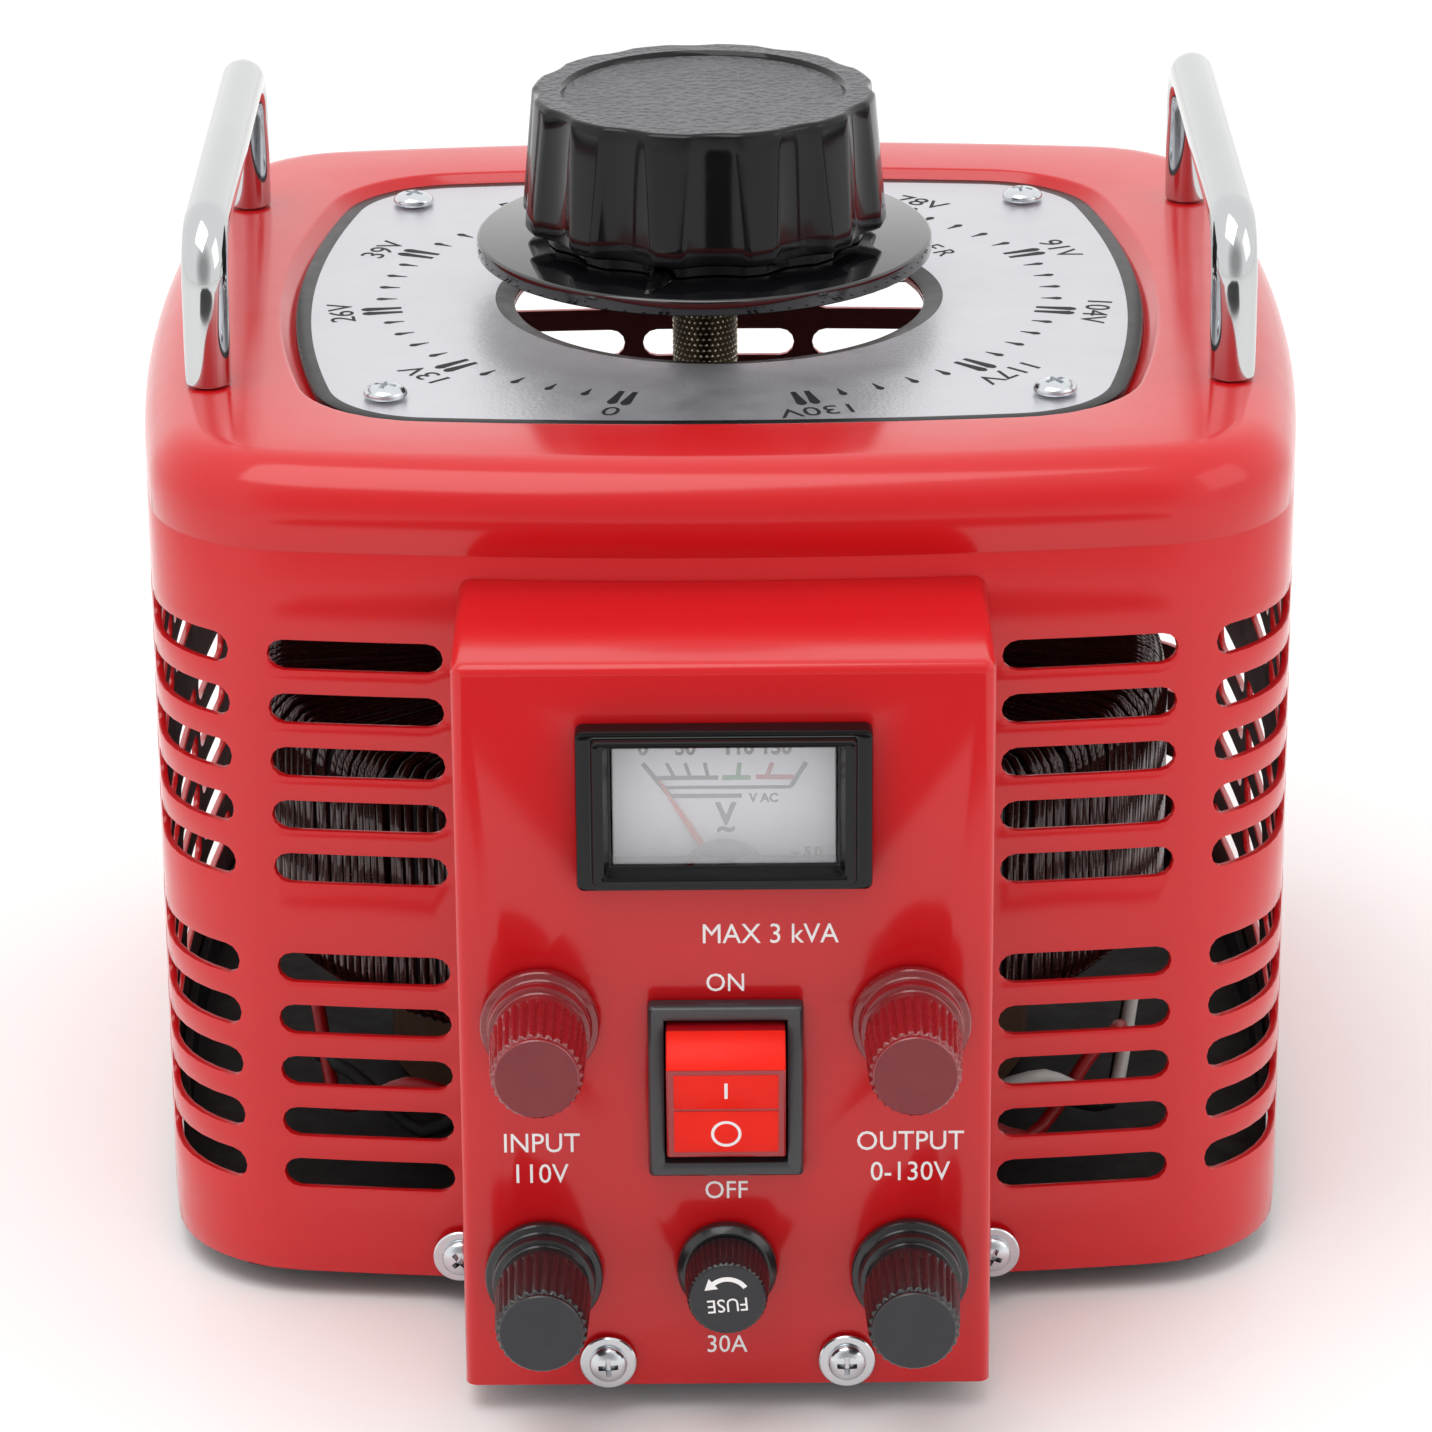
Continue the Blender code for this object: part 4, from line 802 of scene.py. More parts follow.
def wall_tree() -> NodeShape:
    """Makes the tree that sweeps a drawn sheet round a plan and punches its slots.

    The base mesh has a vertex for each column, at (distance along the wall, distance from its slot's middle).
    The profile has a vertex for each row, at (inset, distance from its slot's middle, height).

    Returns:
        The tree.
    """
    shape = NodeShape("slotted drawn sheet")
    columns = shape.entry.outputs["Geometry"]
    rows, outer, inner = [
        shape.add("GeometryNodeObjectInfo", {"Object": shape.size(name, "Object")}).outputs["Geometry"]
        for name in ("Profile", "Plan", "Inner plan")]
    straight, radius, length, hole = [
        shape.size(name) for name in ("Slot straight", "Slot radius", "Wall length", "Hole radius")]
    across, up = [shape.add("GeometryNodeAttributeDomainSize", {"Geometry": line}, component="MESH").outputs[0]
                  for line in (columns, rows)]
    grid = shape.add("GeometryNodeMeshGrid", {
        "Vertices X": shape.add(MATH, (across, 1.0), operation="ADD"), "Vertices Y": up})
    index = shape.add("GeometryNodeInputIndex")
    row = shape.add(INTEGER, (index, up), operation="MODULO")
    column = shape.add(INTEGER, (shape.add(INTEGER, (index, up), operation="DIVIDE_FLOOR"), across),
                       operation="MODULO")
    spot = shape.add("GeometryNodeInputPosition")
    at_column, at_row = [shape.add("ShaderNodeSeparateXYZ", (shape.add(
        "GeometryNodeSampleIndex", {"Geometry": line, "Value": spot, "Index": number},
        data_type="FLOAT_VECTOR"),)) for line, number in ((columns, column), (rows, row))]
    turn_in, to_hole = [shape.add("GeometryNodeSampleIndex", {
        "Geometry": rows, "Index": row,
        "Value": shape.add("GeometryNodeInputNamedAttribute", {"Name": name}, data_type="FLOAT").outputs[0]},
        data_type="FLOAT") for name in ("blend", "hole")]
    along, u = at_column.outputs[0], at_column.outputs[1]
    inset, v, height = at_row.outputs
    # A column at a slot's end moves out along the slot's round end.
    squares = [shape.add(MATH, (size, size), operation="MULTIPLY") for size in (radius, v)]
    rest = shape.add(MATH, (shape.add(MATH, squares, operation="SUBTRACT"), 0.0), operation="MAXIMUM")
    from_middle = shape.add(MATH, (u,), operation="ABSOLUTE")
    at_end = shape.add(MATH, (from_middle, straight, 1e-5), operation="COMPARE")
    way = shape.add(MATH, (shape.add(MATH, (u,), operation="SIGN"), at_end), operation="MULTIPLY")
    reach = shape.add(MATH, (way, shape.add(MATH, (rest,), operation="SQRT")), operation="MULTIPLY")
    distance = shape.add(MATH, (along, reach), operation="ADD")
    share = shape.add(MATH, (distance, length), operation="DIVIDE")
    walks = [shape.add("GeometryNodeSampleCurve", {"Curves": curve, "Factor": share}, mode="FACTOR",
                       data_type="FLOAT") for curve in (outer, inner)]
    outward = [shape.add(VECTOR, (walk.outputs["Tangent"], (0.0, 0.0, 1.0)), operation="CROSS_PRODUCT")
               for walk in walks]
    place = shape.add(MIX, {"Factor": turn_in, "A": walks[0].outputs["Position"],
                            "B": walks[1].outputs["Position"]}, data_type="VECTOR")
    away = shape.add(MIX, {"Factor": turn_in, "A": outward[0], "B": outward[1]}, data_type="VECTOR")
    away = shape.add(VECTOR, (away,), operation="NORMALIZE")
    shift = shape.add(VECTOR, {0: away, "Scale": inset}, operation="SCALE")
    inside = shape.add(VECTOR, (place, shift), operation="SUBTRACT")
    to_rim = shape.add(VECTOR, (walks[1].outputs["Position"],), operation="NORMALIZE")
    rim = shape.add(VECTOR, {0: to_rim, "Scale": hole}, operation="SCALE")
    level = shape.add(MIX, {"Factor": to_hole, "A": inside, "B": rim}, data_type="VECTOR")
    lifted = shape.add(VECTOR, (level, shape.add(JOIN, {"Z": height})), operation="ADD")
    sheet = grid.outputs["Mesh"]
    for name, value in (("u", u), ("v", v)):
        sheet = shape.add("GeometryNodeStoreNamedAttribute", {"Geometry": sheet, "Name": name, "Value": value},
                          data_type="FLOAT", domain="POINT")
    sheet = shape.add("GeometryNodeSetPosition", {"Geometry": sheet, "Position": lifted})
    near = []
    for name, limit in (("u", straight), ("v", radius)):
        stored = shape.add("GeometryNodeInputNamedAttribute", {"Name": name}, data_type="FLOAT").outputs[0]
        size = shape.add(MATH, (stored,), operation="ABSOLUTE")
        near.append(shape.add(MATH, (size, limit), operation="LESS_THAN"))
    punched = shape.add("GeometryNodeDeleteGeometry", {
        "Geometry": sheet, "Selection": shape.add(MATH, near, operation="MULTIPLY")}, domain="FACE", mode="ALL")
    shape.close(shape.add("GeometryNodeMergeByDistance", {"Geometry": punched, "Distance": 1e-5}))
    return shape


def points_object(name: str, points: Sequence[Point], **numbers: Sequence[float]) -> bpy.types.Object:
    """Makes a mesh of loose points.

    Args:
        name: its name.
        points: the points.
        numbers: named float attributes, one number for each point.
    Returns:
        The object, linked to the scene.
    """
    mesh = bpy.data.meshes.new(name)
    mesh.from_pydata(points, [], [])
    for key, values in numbers.items():
        mesh.attributes.new(key, "FLOAT", "POINT").data.foreach_set("value", list(values))
    return linked(name, mesh)


@dataclass
class CaseCover:
    """The deep-drawn cover with its slots, and its two bar handles."""

    height: float = 148.4 * MM
    wall: float = 1.2 * MM
    shoulder: float = 9.5 * MM
    recess: float = 2.6 * MM
    recess_step: float = 2.2 * MM
    hole_radius: float = 37.0 * MM
    slot_straight: float = 12.25 * MM
    slot_radius: float = 2.75 * MM
    slot_first: float = 61.9 * MM
    slot_second: float = 99.0 * MM
    slot_columns: int = 9
    slot_rows: tuple[float, float] = (57.7 * MM, 115.0 * MM)
    slot_pitch: float = 9.7 * MM
    rows_in_group: int = 5
    seam: float = 133.5 * MM
    handle_x: float = 88.3 * MM
    handle_y: float = 53.5 * MM
    handle_radius: float = 4.0 * MM
    handle_rise: float = 26.5 * MM
    handle_bend: float = 9.0 * MM

    def columns(self, length: float) -> list[Point]:
        """Lays out the sheet's columns.

        Args:
            length: the whole way round the wall.
        Returns:
            A point at (distance along, distance from its slot's middle) for each column.
        """
        pitch = (length / 2.0 - self.slot_second) / (self.slot_columns - 1)
        centres = [self.slot_first] + [self.slot_second + pitch * i for i in range(self.slot_columns)]
        half = [(4.4 * MM * i, FAR, 0.0) for i in range(11)]
        steps = 6
        for number, centre in enumerate(centres):
            if number:
                start = centres[number - 1] + self.slot_straight
                gap = centre - self.slot_straight - start
                half += [(start + gap * share, FAR, 0.0) for share in (0.4, 0.6)]
            for step in range(steps + 1):
                offset = self.slot_straight * (2.0 * step / steps - 1.0)
                half.append((centre + offset, offset, 0.0))
        right = [point for point in half if point[0] < length / 2.0 - 1e-6]
        middle = (length / 2.0, 0.0, 0.0)
        left = [(length - s, u if u == FAR else -u, 0.0) for s, u, _ in reversed(right) if s > 0.0]
        return right + [middle] + left

    def profile(self) -> tuple[list[Point], list[float], list[float]]:
        """Lays out the sheet's rows, from its bottom edge up and over to the shaft hole.

        Returns:
            A point at (inset, distance from its slot's middle, height) for each row, then its share of the
            inner plan and its share of the hole.
        """
        rows = [(0.0, FAR, 0.0), (0.0, FAR, 4.0 * MM), (0.0, FAR, 10.0 * MM)]
        steps = 6
        for group in self.slot_rows:
            for number in reversed(range(self.rows_in_group)):
                middle = group - number * self.slot_pitch
                for step in range(steps + 1):
                    v = self.slot_radius * math.sin(math.pi * (step / steps - 0.5))
                    rows.append((0.0, v, middle + v))
                rows.append((0.0, FAR, middle + self.slot_pitch / 2.0))
        groove = 0.15 * MM
        for offset, depth in ((-0.5, 0.0), (-0.2, groove), (0.2, groove), (0.5, 0.0)):
            rows.append((depth, FAR, self.seam + offset * MM))
        between = 71.0 * MM     # rows this near to the middle of the gap between the groups are left out
        rows = [row for row in rows if not (row[1] == FAR and abs(row[2] - between) < 3.0 * MM)]
        for step in range(9):
            angle = math.pi / 2.0 * step / 8
            rows.append((self.shoulder * (1.0 - math.cos(angle)), FAR,
                         self.height - self.shoulder * (1.0 - math.sin(angle))))
        outer = len(rows)
        low = self.height - self.recess
        lip = 0.9 * MM
        for step in range(5):
            angle = math.radians(50.0) * step / 4
            rows.append((-GAP - self.recess_step - lip + lip * 1.3 * math.sin(angle), FAR,
                         self.height - lip * 1.3 * (1.0 - math.cos(angle))))
        rows += [(-GAP - 0.3 * MM, FAR, low + 0.25 * MM), (-GAP + 0.2 * MM, FAR, low), (2.0 * MM, FAR, low)]
        inner = [0.0] * outer + [1.0] * (len(rows) - outer)
        rows.append((0.0, FAR, low))
        return rows, inner + [1.0], [0.0] * len(inner) + [1.0]

    def build_cover(self) -> None:
        """Makes the cover from its tree."""
        outline = [(x, y, 0.0) for x, y in CASE_PLAN.points()]
        inner = [(x, y, 0.0) for x, y in PLATE_PLAN.points()]
        length = sum(math.dist(outline[i], outline[i - 1]) for i in range(len(outline)))
        rows, blend, hole = self.profile()
        helpers = [points_object("case_rows", rows, blend=blend, hole=hole),
                   curve_object("case_plan", outline, True), curve_object("plate_plan", inner, True)]
        mesh = wall_tree().bake(points_object("case_columns", self.columns(length)), ENAMEL, {
            "Profile": helpers[0], "Plan": helpers[1], "Inner plan": helpers[2],
            "Slot straight": self.slot_straight, "Slot radius": self.slot_radius,
            "Wall length": length, "Hole radius": self.hole_radius})
        mesh.transform(CASE)
        for helper in helpers:
            bpy.data.objects.remove(helper)
        sheet = to_object("sheet", mesh, (ENAMEL, INNER_SHADE_RED), None)
        wall = sheet.modifiers.new("wall", "SOLIDIFY")
        wall.thickness = self.wall
        wall.offset = -1.0
        wall.use_even_offset = True
        # The inner faces take the dark red painted shade.
        wall.material_offset = 1
        edge = sheet.modifiers.new("edges", "BEVEL")
        edge.width = 0.28 * MM
        edge.segments = 2
        edge.limit_method = "ANGLE"
        edge.angle_limit = math.radians(60.0)
        cover = to_object("case_cover_sheet", settled(sheet), (ENAMEL, INNER_SHADE_RED), 50.0)
        show(cover, "case", "red_enamel", "case_cover")

    def build_handles(self) -> None:
        """Bends the two bars."""
        tree = tube_tree()
        for side, sign in SIDES:
            top = self.handle_rise
            path = [(0.0, -self.handle_y, GAP)]
            steps = 14
            for end in (-1.0, 1.0):
                for step in range(steps + 1):
                    angle = math.pi / 2.0 * step / steps
                    run, lift = (math.cos(angle), math.sin(angle)) if end < 0.0 else (
                        math.sin(angle), math.cos(angle))
                    path.append((0.0, end * (self.handle_y - self.handle_bend + self.handle_bend * run),
                                 top - self.handle_bend + self.handle_bend * lift))
            path.append((0.0, self.handle_y, GAP))
            mesh = tree.bake(curve_object("path", path, False), CHROME,
                             {"Radius": self.handle_radius, "Facets": 40})
            mesh.transform(CASE @ Matrix.Translation((sign * self.handle_x, 0.0, self.height)))
            bar = to_object(f"handle_bar_{side}", mesh, (CHROME,), 60.0)
            round_edges(bar, 0.4 * MM, 3, 60.0)
            show(bar, "case", "chrome", f"handle_{side}")


@dataclass
class DialPlate:
    """The silver scale plate with its black border, its print and its marks."""

    seat: float = 145.8 * MM
    thickness: float = 1.0 * MM
    border: float = 2.7 * MM
    ring_outer: float = 40.4 * MM
    ring_inner: float = 37.6 * MM
    hole_radius: float = 37.0 * MM
    mark_radius: float = 57.9 * MM
    number_radius: float = 68.6 * MM
    zero: float = 15.9          # degrees left of the front
    interval: float = 33.04     # degrees between numbered marks
    volts: int = 13             # between numbered marks

    def round_loop(self, radius: float, height: float) -> list[Point]:
        """Returns a circle with a point in the direction of each point of the plan."""
        return [(radius * x / math.hypot(x, y), radius * y / math.hypot(x, y), height)
                for x, y in PLATE_PLAN.points()]

    def build_plate(self) -> None:
        """Makes the plate, its border band and the bevelled ring round the hole."""
        low = self.seat + GAP
        top = low + self.thickness
        edge = 0.25 * MM
        rows = [(0.0, low), (0.0, top - edge), (edge * 0.3, top - edge * 0.3), (edge, top), (self.border, top)]
        loops = [PLATE_PLAN.loop(inset, height) for inset, height in rows]
        start, end = PLATE_PLAN.loop(self.border + 0.1 * MM, top), self.round_loop(self.ring_outer, top)
        for share in (0.0, 0.33, 0.66, 1.0):
            loops.append([tuple(Vector(a).lerp(Vector(b), share)) for a, b in zip(start, end)])
        loops += [self.round_loop(self.ring_outer - 0.2 * MM, top - 0.05 * MM),
                  self.round_loop(self.ring_inner, top - 0.5 * MM),
                  self.round_loop(self.hole_radius, top - 0.8 * MM), self.round_loop(self.hole_radius, low)]
        looks = [1, 1, 1, 1, 0, 0, 0, 0, 1, 1, 1, 1, 1]
        plate = to_object("scale_plate", moved(loft(loops, ring=True, looks=looks), CASE), (SILVER, PLATE_INK), 30.0)
        show(plate, "case", "silver_plate", "dial_plate")

    def stroke(self, inner: float, outer: float, wide: float, aside: float, point: float) -> bmesh.types.BMesh:
        """Draws one tapered mark towards -Y.

        Args:
            inner: the radius of its pointed end.
            outer: the radius of its thick end.
            wide: its width there.
            aside: how far it stands beside the line.
            point: how wide its inner end is, as a share of its width.
        Returns:
            The raised mark.
        """
        half = wide / 2.0
        waist = half * (0.45 + 0.55 * point)
        outline = [(aside + half * point, -inner), (aside + waist, -(inner + (outer - inner) * 0.45)),
                   (aside + half, -(outer - half * 1.2)), (aside + half * 0.6, -(outer - half * 0.3)),
                   (aside, -outer), (aside - half * 0.6, -(outer - half * 0.3)),
                   (aside - half, -(outer - half * 1.2)),
                   (aside - waist, -(inner + (outer - inner) * 0.45)), (aside - half * point, -inner)]
        return prism(outline, 0.0, 0.03 * MM)

    def build_print(self, ring: NodeShape) -> None:
        """Stamps the marks and letters the numbers.

        Args:
            ring: the tree that stamps in a ring.
        """
        top = self.seat + GAP + self.thickness
        pair = joined([self.stroke(self.mark_radius - 0.4 * MM, self.mark_radius + 6.9 * MM, 1.9 * MM,
                                   side * 1.2 * MM, 0.5)
                       for side in (-1.0, 1.0)])
        plain = self.stroke(self.mark_radius + 0.2 * MM, self.mark_radius + 4.0 * MM, 1.5 * MM, 0.0, 0.15)
        shared = {"Rows": 1, "Start": -math.radians(self.zero), "Rise": 0.0, "Twist": 0.0, "Wander": 0.0,
                  "Lean": 0.0, "Seed": 1}
        for name, stamp, count, share, skip in (("numbered", pair, 11, 1.0, 1), ("plain", plain, 51, 0.2, 5)):
            stamp_object = to_object("stamp", stamp, (BLACK_INK,), None)
            mesh = ring.bake(points_object("none", []), BLACK_INK, {
                **shared, "Stamp": stamp_object, "Count": count, "Skip": skip,
                "Step": -math.radians(self.interval * share)})
            bpy.data.objects.remove(stamp_object)
            mesh.transform(CASE @ Matrix.Translation((0.0, 0.0, top)))
            show(to_object(f"scale_marks_{name}", mesh, (BLACK_INK,), None), "case", "silver_plate")
        words = []
        for number in range(11):
            angle = math.radians(self.zero + self.interval * number)
            text = "0" if number == 0 else f"{self.volts * number}V"
            word = lettering(text, 4.7 * MM, 1.05)
            out = Matrix.Rotation(math.pi - angle, 4, "Z") @ Matrix.Translation((0.0, self.number_radius, top))
            words.append(moved(word, out))
        legend = "VARIABLE AUTO TRANSFORMER"
        spread = math.radians(5.0)
        for number, letter in enumerate(legend):
            if letter != " ":
                turn = Matrix.Rotation(-spread * (number - (len(legend) - 1) / 2.0), 4, "Z")
                words.append(moved(lettering(letter, 4.2 * MM, 0.95),
                                   turn @ Matrix.Translation((0.0, 48.5 * MM, top))))
        show(to_object("scale_numbers", moved(joined(words), CASE), (BLACK_INK,), None), "case", "silver_plate")


@dataclass
class Knob:
    """The scalloped knob, its mirror-black disc, its pointer and the knurled collar below."""

    disc_radius: float = 41.0 * MM
    disc_low: float = 155.8 * MM
    disc_high: float = 158.9 * MM
    top: float = 185.6 * MM
    top_radius: float = 30.8 * MM
    foot_radius: float = 32.9 * MM
    foot: float = 162.3 * MM
    undercut: float = 4.2 * MM
    scallops: int = 12
    first_scallop: float = 3.3      # degrees right of the front
    bore: float = 4.3 * MM
    collar_radius: float = 5.9 * MM
    collar_low: float = 112.0 * MM
    pointer: float = 15.2           # degrees left of the front

    def scalloped(self, radius: float, height: float, depth: float, half: float) -> list[Point]:
        """Draws one level of the grip.

        Args:
            radius: the radius of the lands.
            height: the level's height.
            depth: how deep each hollow is.
            half: half of each hollow's width in degrees.
        Returns:
            The loop of points.
        """
        loop = []
        pitch = 360.0 / self.scallops
        across, land = 12, 6
        for number in range(self.scallops):
            middle = self.first_scallop + pitch * number - 90.0
            for step in range(across):
                share = 2.0 * step / across - 1.0
                reach = radius - depth * (1.0 - share * share)
                angle = math.radians(middle + half * share)
                loop.append((reach * math.cos(angle), reach * math.sin(angle), height))
            for step in range(land):
                angle = math.radians(middle + half + (pitch - 2.0 * half) * step / land)
                loop.append((radius * math.cos(angle), radius * math.sin(angle), height))
        return loop

    def build_knob(self) -> None:
        """Makes the grip with its wrinkled top."""
        low = self.disc_high + GAP
        # Each level's radius, height, hollow depth and half a hollow's width in degrees.
        levels = [(self.foot_radius - self.undercut, low, 1.6 * MM, 10.6),
                  (self.foot_radius - self.undercut, self.foot - 1.3 * MM, 1.6 * MM, 10.6),
                  (self.foot_radius - 1.2 * MM, self.foot - 0.7 * MM, 1.9 * MM, 10.5),
                  (self.foot_radius - 0.25 * MM, self.foot - 0.15 * MM, 2.0 * MM, 10.5),
                  (self.foot_radius, self.foot + 0.5 * MM, 2.0 * MM, 10.5)]
        steps = 8
        for step in range(1, steps + 1):
            share = step / steps
            levels.append((self.foot_radius + (self.top_radius - self.foot_radius) * share,
                           self.foot + 0.5 * MM + (self.top - 1.0 * MM - self.foot - 0.5 * MM) * share,
                           (2.0 - 1.15 * share) * MM, 10.5 - 2.5 * share))
        for step in range(1, 5):
            angle = math.pi / 2.0 * step / 4
            levels.append((self.top_radius - 1.0 * MM * (1.0 - math.cos(angle)),
                           self.top - 1.0 * MM * (1.0 - math.sin(angle)), 0.85 * MM, 8.0))
        side_bands = len(levels) - 1
        levels += [(29.0 * MM, self.top - 0.02 * MM, 0.5 * MM, 8.0), (27.0 * MM, self.top - 0.02 * MM, 0.0, 8.0),
                   (25.6 * MM, self.top - 0.02 * MM, 0.0, 8.0)]
        wrinkled = 3
        levels += [(25.2 * MM, self.top - 0.35 * MM, 0.0, 8.0), (24.9 * MM, self.top - 0.9 * MM, 0.0, 8.0),
                   (24.3 * MM, self.top - 1.0 * MM, 0.0, 8.0)]
        loops = [self.scalloped(*level) for level in levels]
        looks = [0] * side_bands + [1] * wrinkled + [0, 0, 1] + [0, 1]
        shape = loft(loops, looks=looks)
        knob = to_object("fluted_knob", moved(shape, ROTOR), (PHENOLIC, WRINKLE), 32.0)
        shaft = moved(turned([(self.bore, low - 2.0 * MM), (self.bore, self.top - 7.7 * MM)], 32), ROTOR)
        hole = turned([(2.2 * MM, self.bore * 0.9), (2.2 * MM, self.foot_radius + 4.0 * MM)], 20)
        cut(knob, [shaft])
        place = Matrix.Translation((SHAFT_X, CASE_Y, FLOOR + low + 7.0 * MM)) @ Matrix.Rotation(-math.pi / 2.0, 4, "X")
        cut(knob, [moved(hole, place)])
        show(knob, "rotor", "black_phenolic", "dial_knob")

    def build_disc(self) -> None:
        """Makes the disc and the raised pointer on it."""
        edge = 0.7 * MM
        low, high, rim, bore = self.disc_low, self.disc_high, self.disc_radius, self.bore
        profile = [(bore, low), (rim - edge, low)]
        for step in range(7):
            angle = math.pi * (step / 6 - 0.5)
            shift = low + edge if step < 3 else high - edge
            profile.append((rim - edge + edge * math.cos(angle), (shift if step != 3 else (low + high) / 2.0)
                            + (edge * math.sin(angle) if step != 3 else 0.0)))
        profile.append((bore, high))
        disc = to_object("pointer_plate", moved(turned(profile, 160, ring=True), ROTOR), (MIRROR_BLACK,), 40.0)
        show(disc, "rotor", "black_phenolic", "pointer_disc")
        wedge = loft([[(-2.6 * MM, -30.0 * MM, high + 0.05 * MM), (2.6 * MM, -30.0 * MM, high + 0.05 * MM),
                       (0.5 * MM, -38.6 * MM, high + 0.05 * MM), (-0.5 * MM, -38.6 * MM, high + 0.05 * MM)],
                      [(-1.0 * MM, -30.0 * MM, high + 2.2 * MM), (1.0 * MM, -30.0 * MM, high + 2.2 * MM),
                       (0.2 * MM, -37.9 * MM, high + 0.7 * MM), (-0.2 * MM, -37.9 * MM, high + 0.7 * MM)]])
        bmesh.ops.bevel(wedge, geom=wedge.edges[:], offset=0.15 * MM, segments=2, profile=0.5, affect="EDGES")
        turn = Matrix.Rotation(-math.radians(self.pointer), 4, "Z")
        show(to_object("pointer_wedge", moved(wedge, ROTOR @ turn), (PHENOLIC,), 40.0), "rotor", "black_phenolic")

    def build_collar(self, ring: NodeShape) -> None:
        """Makes the collar and stamps its knurl.

        Args:
            ring: the tree that stamps in a ring.
        """
        low, high, rim = self.collar_low, self.disc_low - GAP, self.collar_radius - 0.35 * MM
        sleeve = turned([(self.bore, low), (rim, low), (rim + 0.2 * MM, low + 0.6 * MM),
                         (rim + 0.2 * MM, high - 0.6 * MM), (rim, high), (self.bore, high)], 48, ring=True)
        # The sleeve's dark bronze is painted shade between the pips.
        show(to_object("collar_sleeve", moved(sleeve, ROTOR), (KNURL_HOLLOW_SHADE,)), "rotor", "chrome", "knurled_collar")
        pitch = 1.05 * MM
        count = 35
        rows = int((high - low - 1.6 * MM) / pitch)
        half = pitch * 0.47
        inner, outer = rim + 0.1 * MM, self.collar_radius
        pip = loft([[(inner, -half, 0.0), (inner, 0.0, -half), (inner, half, 0.0), (inner, 0.0, half)],
                    [(outer, -half * 0.2, 0.0), (outer, 0.0, -half * 0.2), (outer, half * 0.2, 0.0),
                     (outer, 0.0, half * 0.2)]])
        # Each pip's pale metal is a painted highlight.
        stamp = to_object("stamp", pip, (KNURL_PIP_HIGHLIGHT,), None)
        mesh = ring.bake(points_object("none", []), KNURL_PIP_HIGHLIGHT, {
            "Stamp": stamp, "Count": count, "Rows": rows, "Start": 0.0, "Step": math.tau / count,
            "Rise": pitch, "Twist": math.pi / count, "Wander": 0.0, "Lean": 0.0, "Skip": 1, "Seed": 1})
        bpy.data.objects.remove(stamp)
        mesh.transform(ROTOR @ Matrix.Translation((0.0, 0.0, low + 0.9 * MM)))
        show(to_object("collar_knurl", mesh, (KNURL_PIP_HIGHLIGHT,), None), "rotor", "chrome")


@dataclass
class Winding:
    """The enamelled wire on the toroid."""

    outer: float = 84.1 * MM
    inner: float = 38.9 * MM
    low: float = 32.9 * MM
    high: float = 81.1 * MM
    corner: float = 6.0 * MM
    wire: float = 0.85 * MM
    turns: int = 236
    gap: float = 24.0       # degrees left bare at the front

    def loop(self) -> bmesh.types.BMesh:
        """Bends one closed turn of wire.

        Returns:
            The turn, standing in the plane through the axis and +X.
        """
        path = []
        corners = ((self.outer, self.low, -90.0), (self.outer, self.high, 0.0), (self.inner, self.high, 90.0),
                   (self.inner, self.low, 180.0))
        for x, z, start in corners:
            across = x - self.corner if x == self.outer else x + self.corner
            up = z + self.corner if z == self.low else z - self.corner
            for step in range(4):
                angle = math.radians(start + 30.0 * step)
                path.append((across + self.corner * math.cos(angle), up + self.corner * math.sin(angle),
                             (math.cos(angle), math.sin(angle))))
        loops = []
        for x, z, (out_x, out_z) in path:
            loops.append([(x + self.wire * math.cos(a) * out_x, self.wire * math.sin(a),
                           z + self.wire * math.cos(a) * out_z) for a in
                          [math.tau * step / 6 for step in range(6)]])
        return loft(loops, ring=True)

    def build(self, ring: NodeShape) -> None:
        """Winds the whole coil.

        Args:
            ring: the tree that stamps in a ring.
        """
        stamp = to_object("stamp", self.loop(), (MAGNET_WIRE,), None)
        sweep = math.radians(360.0 - self.gap - 1.6)
        mesh = ring.bake(points_object("none", []), MAGNET_WIRE, {
            "Stamp": stamp, "Count": self.turns, "Rows": 1, "Rise": 0.0, "Twist": 0.0, "Skip": 1,
            "Start": -math.pi / 2.0 + math.radians(self.gap / 2.0 + 0.8), "Step": sweep / (self.turns - 1),
            "Wander": math.radians(0.16), "Lean": math.radians(0.7), "Seed": 7})
        bpy.data.objects.remove(stamp)
        mesh.transform(ROTOR)
        show(to_object("coil_turns", mesh, (MAGNET_WIRE,), 60.0), "case", "enamelled_wire", "coil_winding")


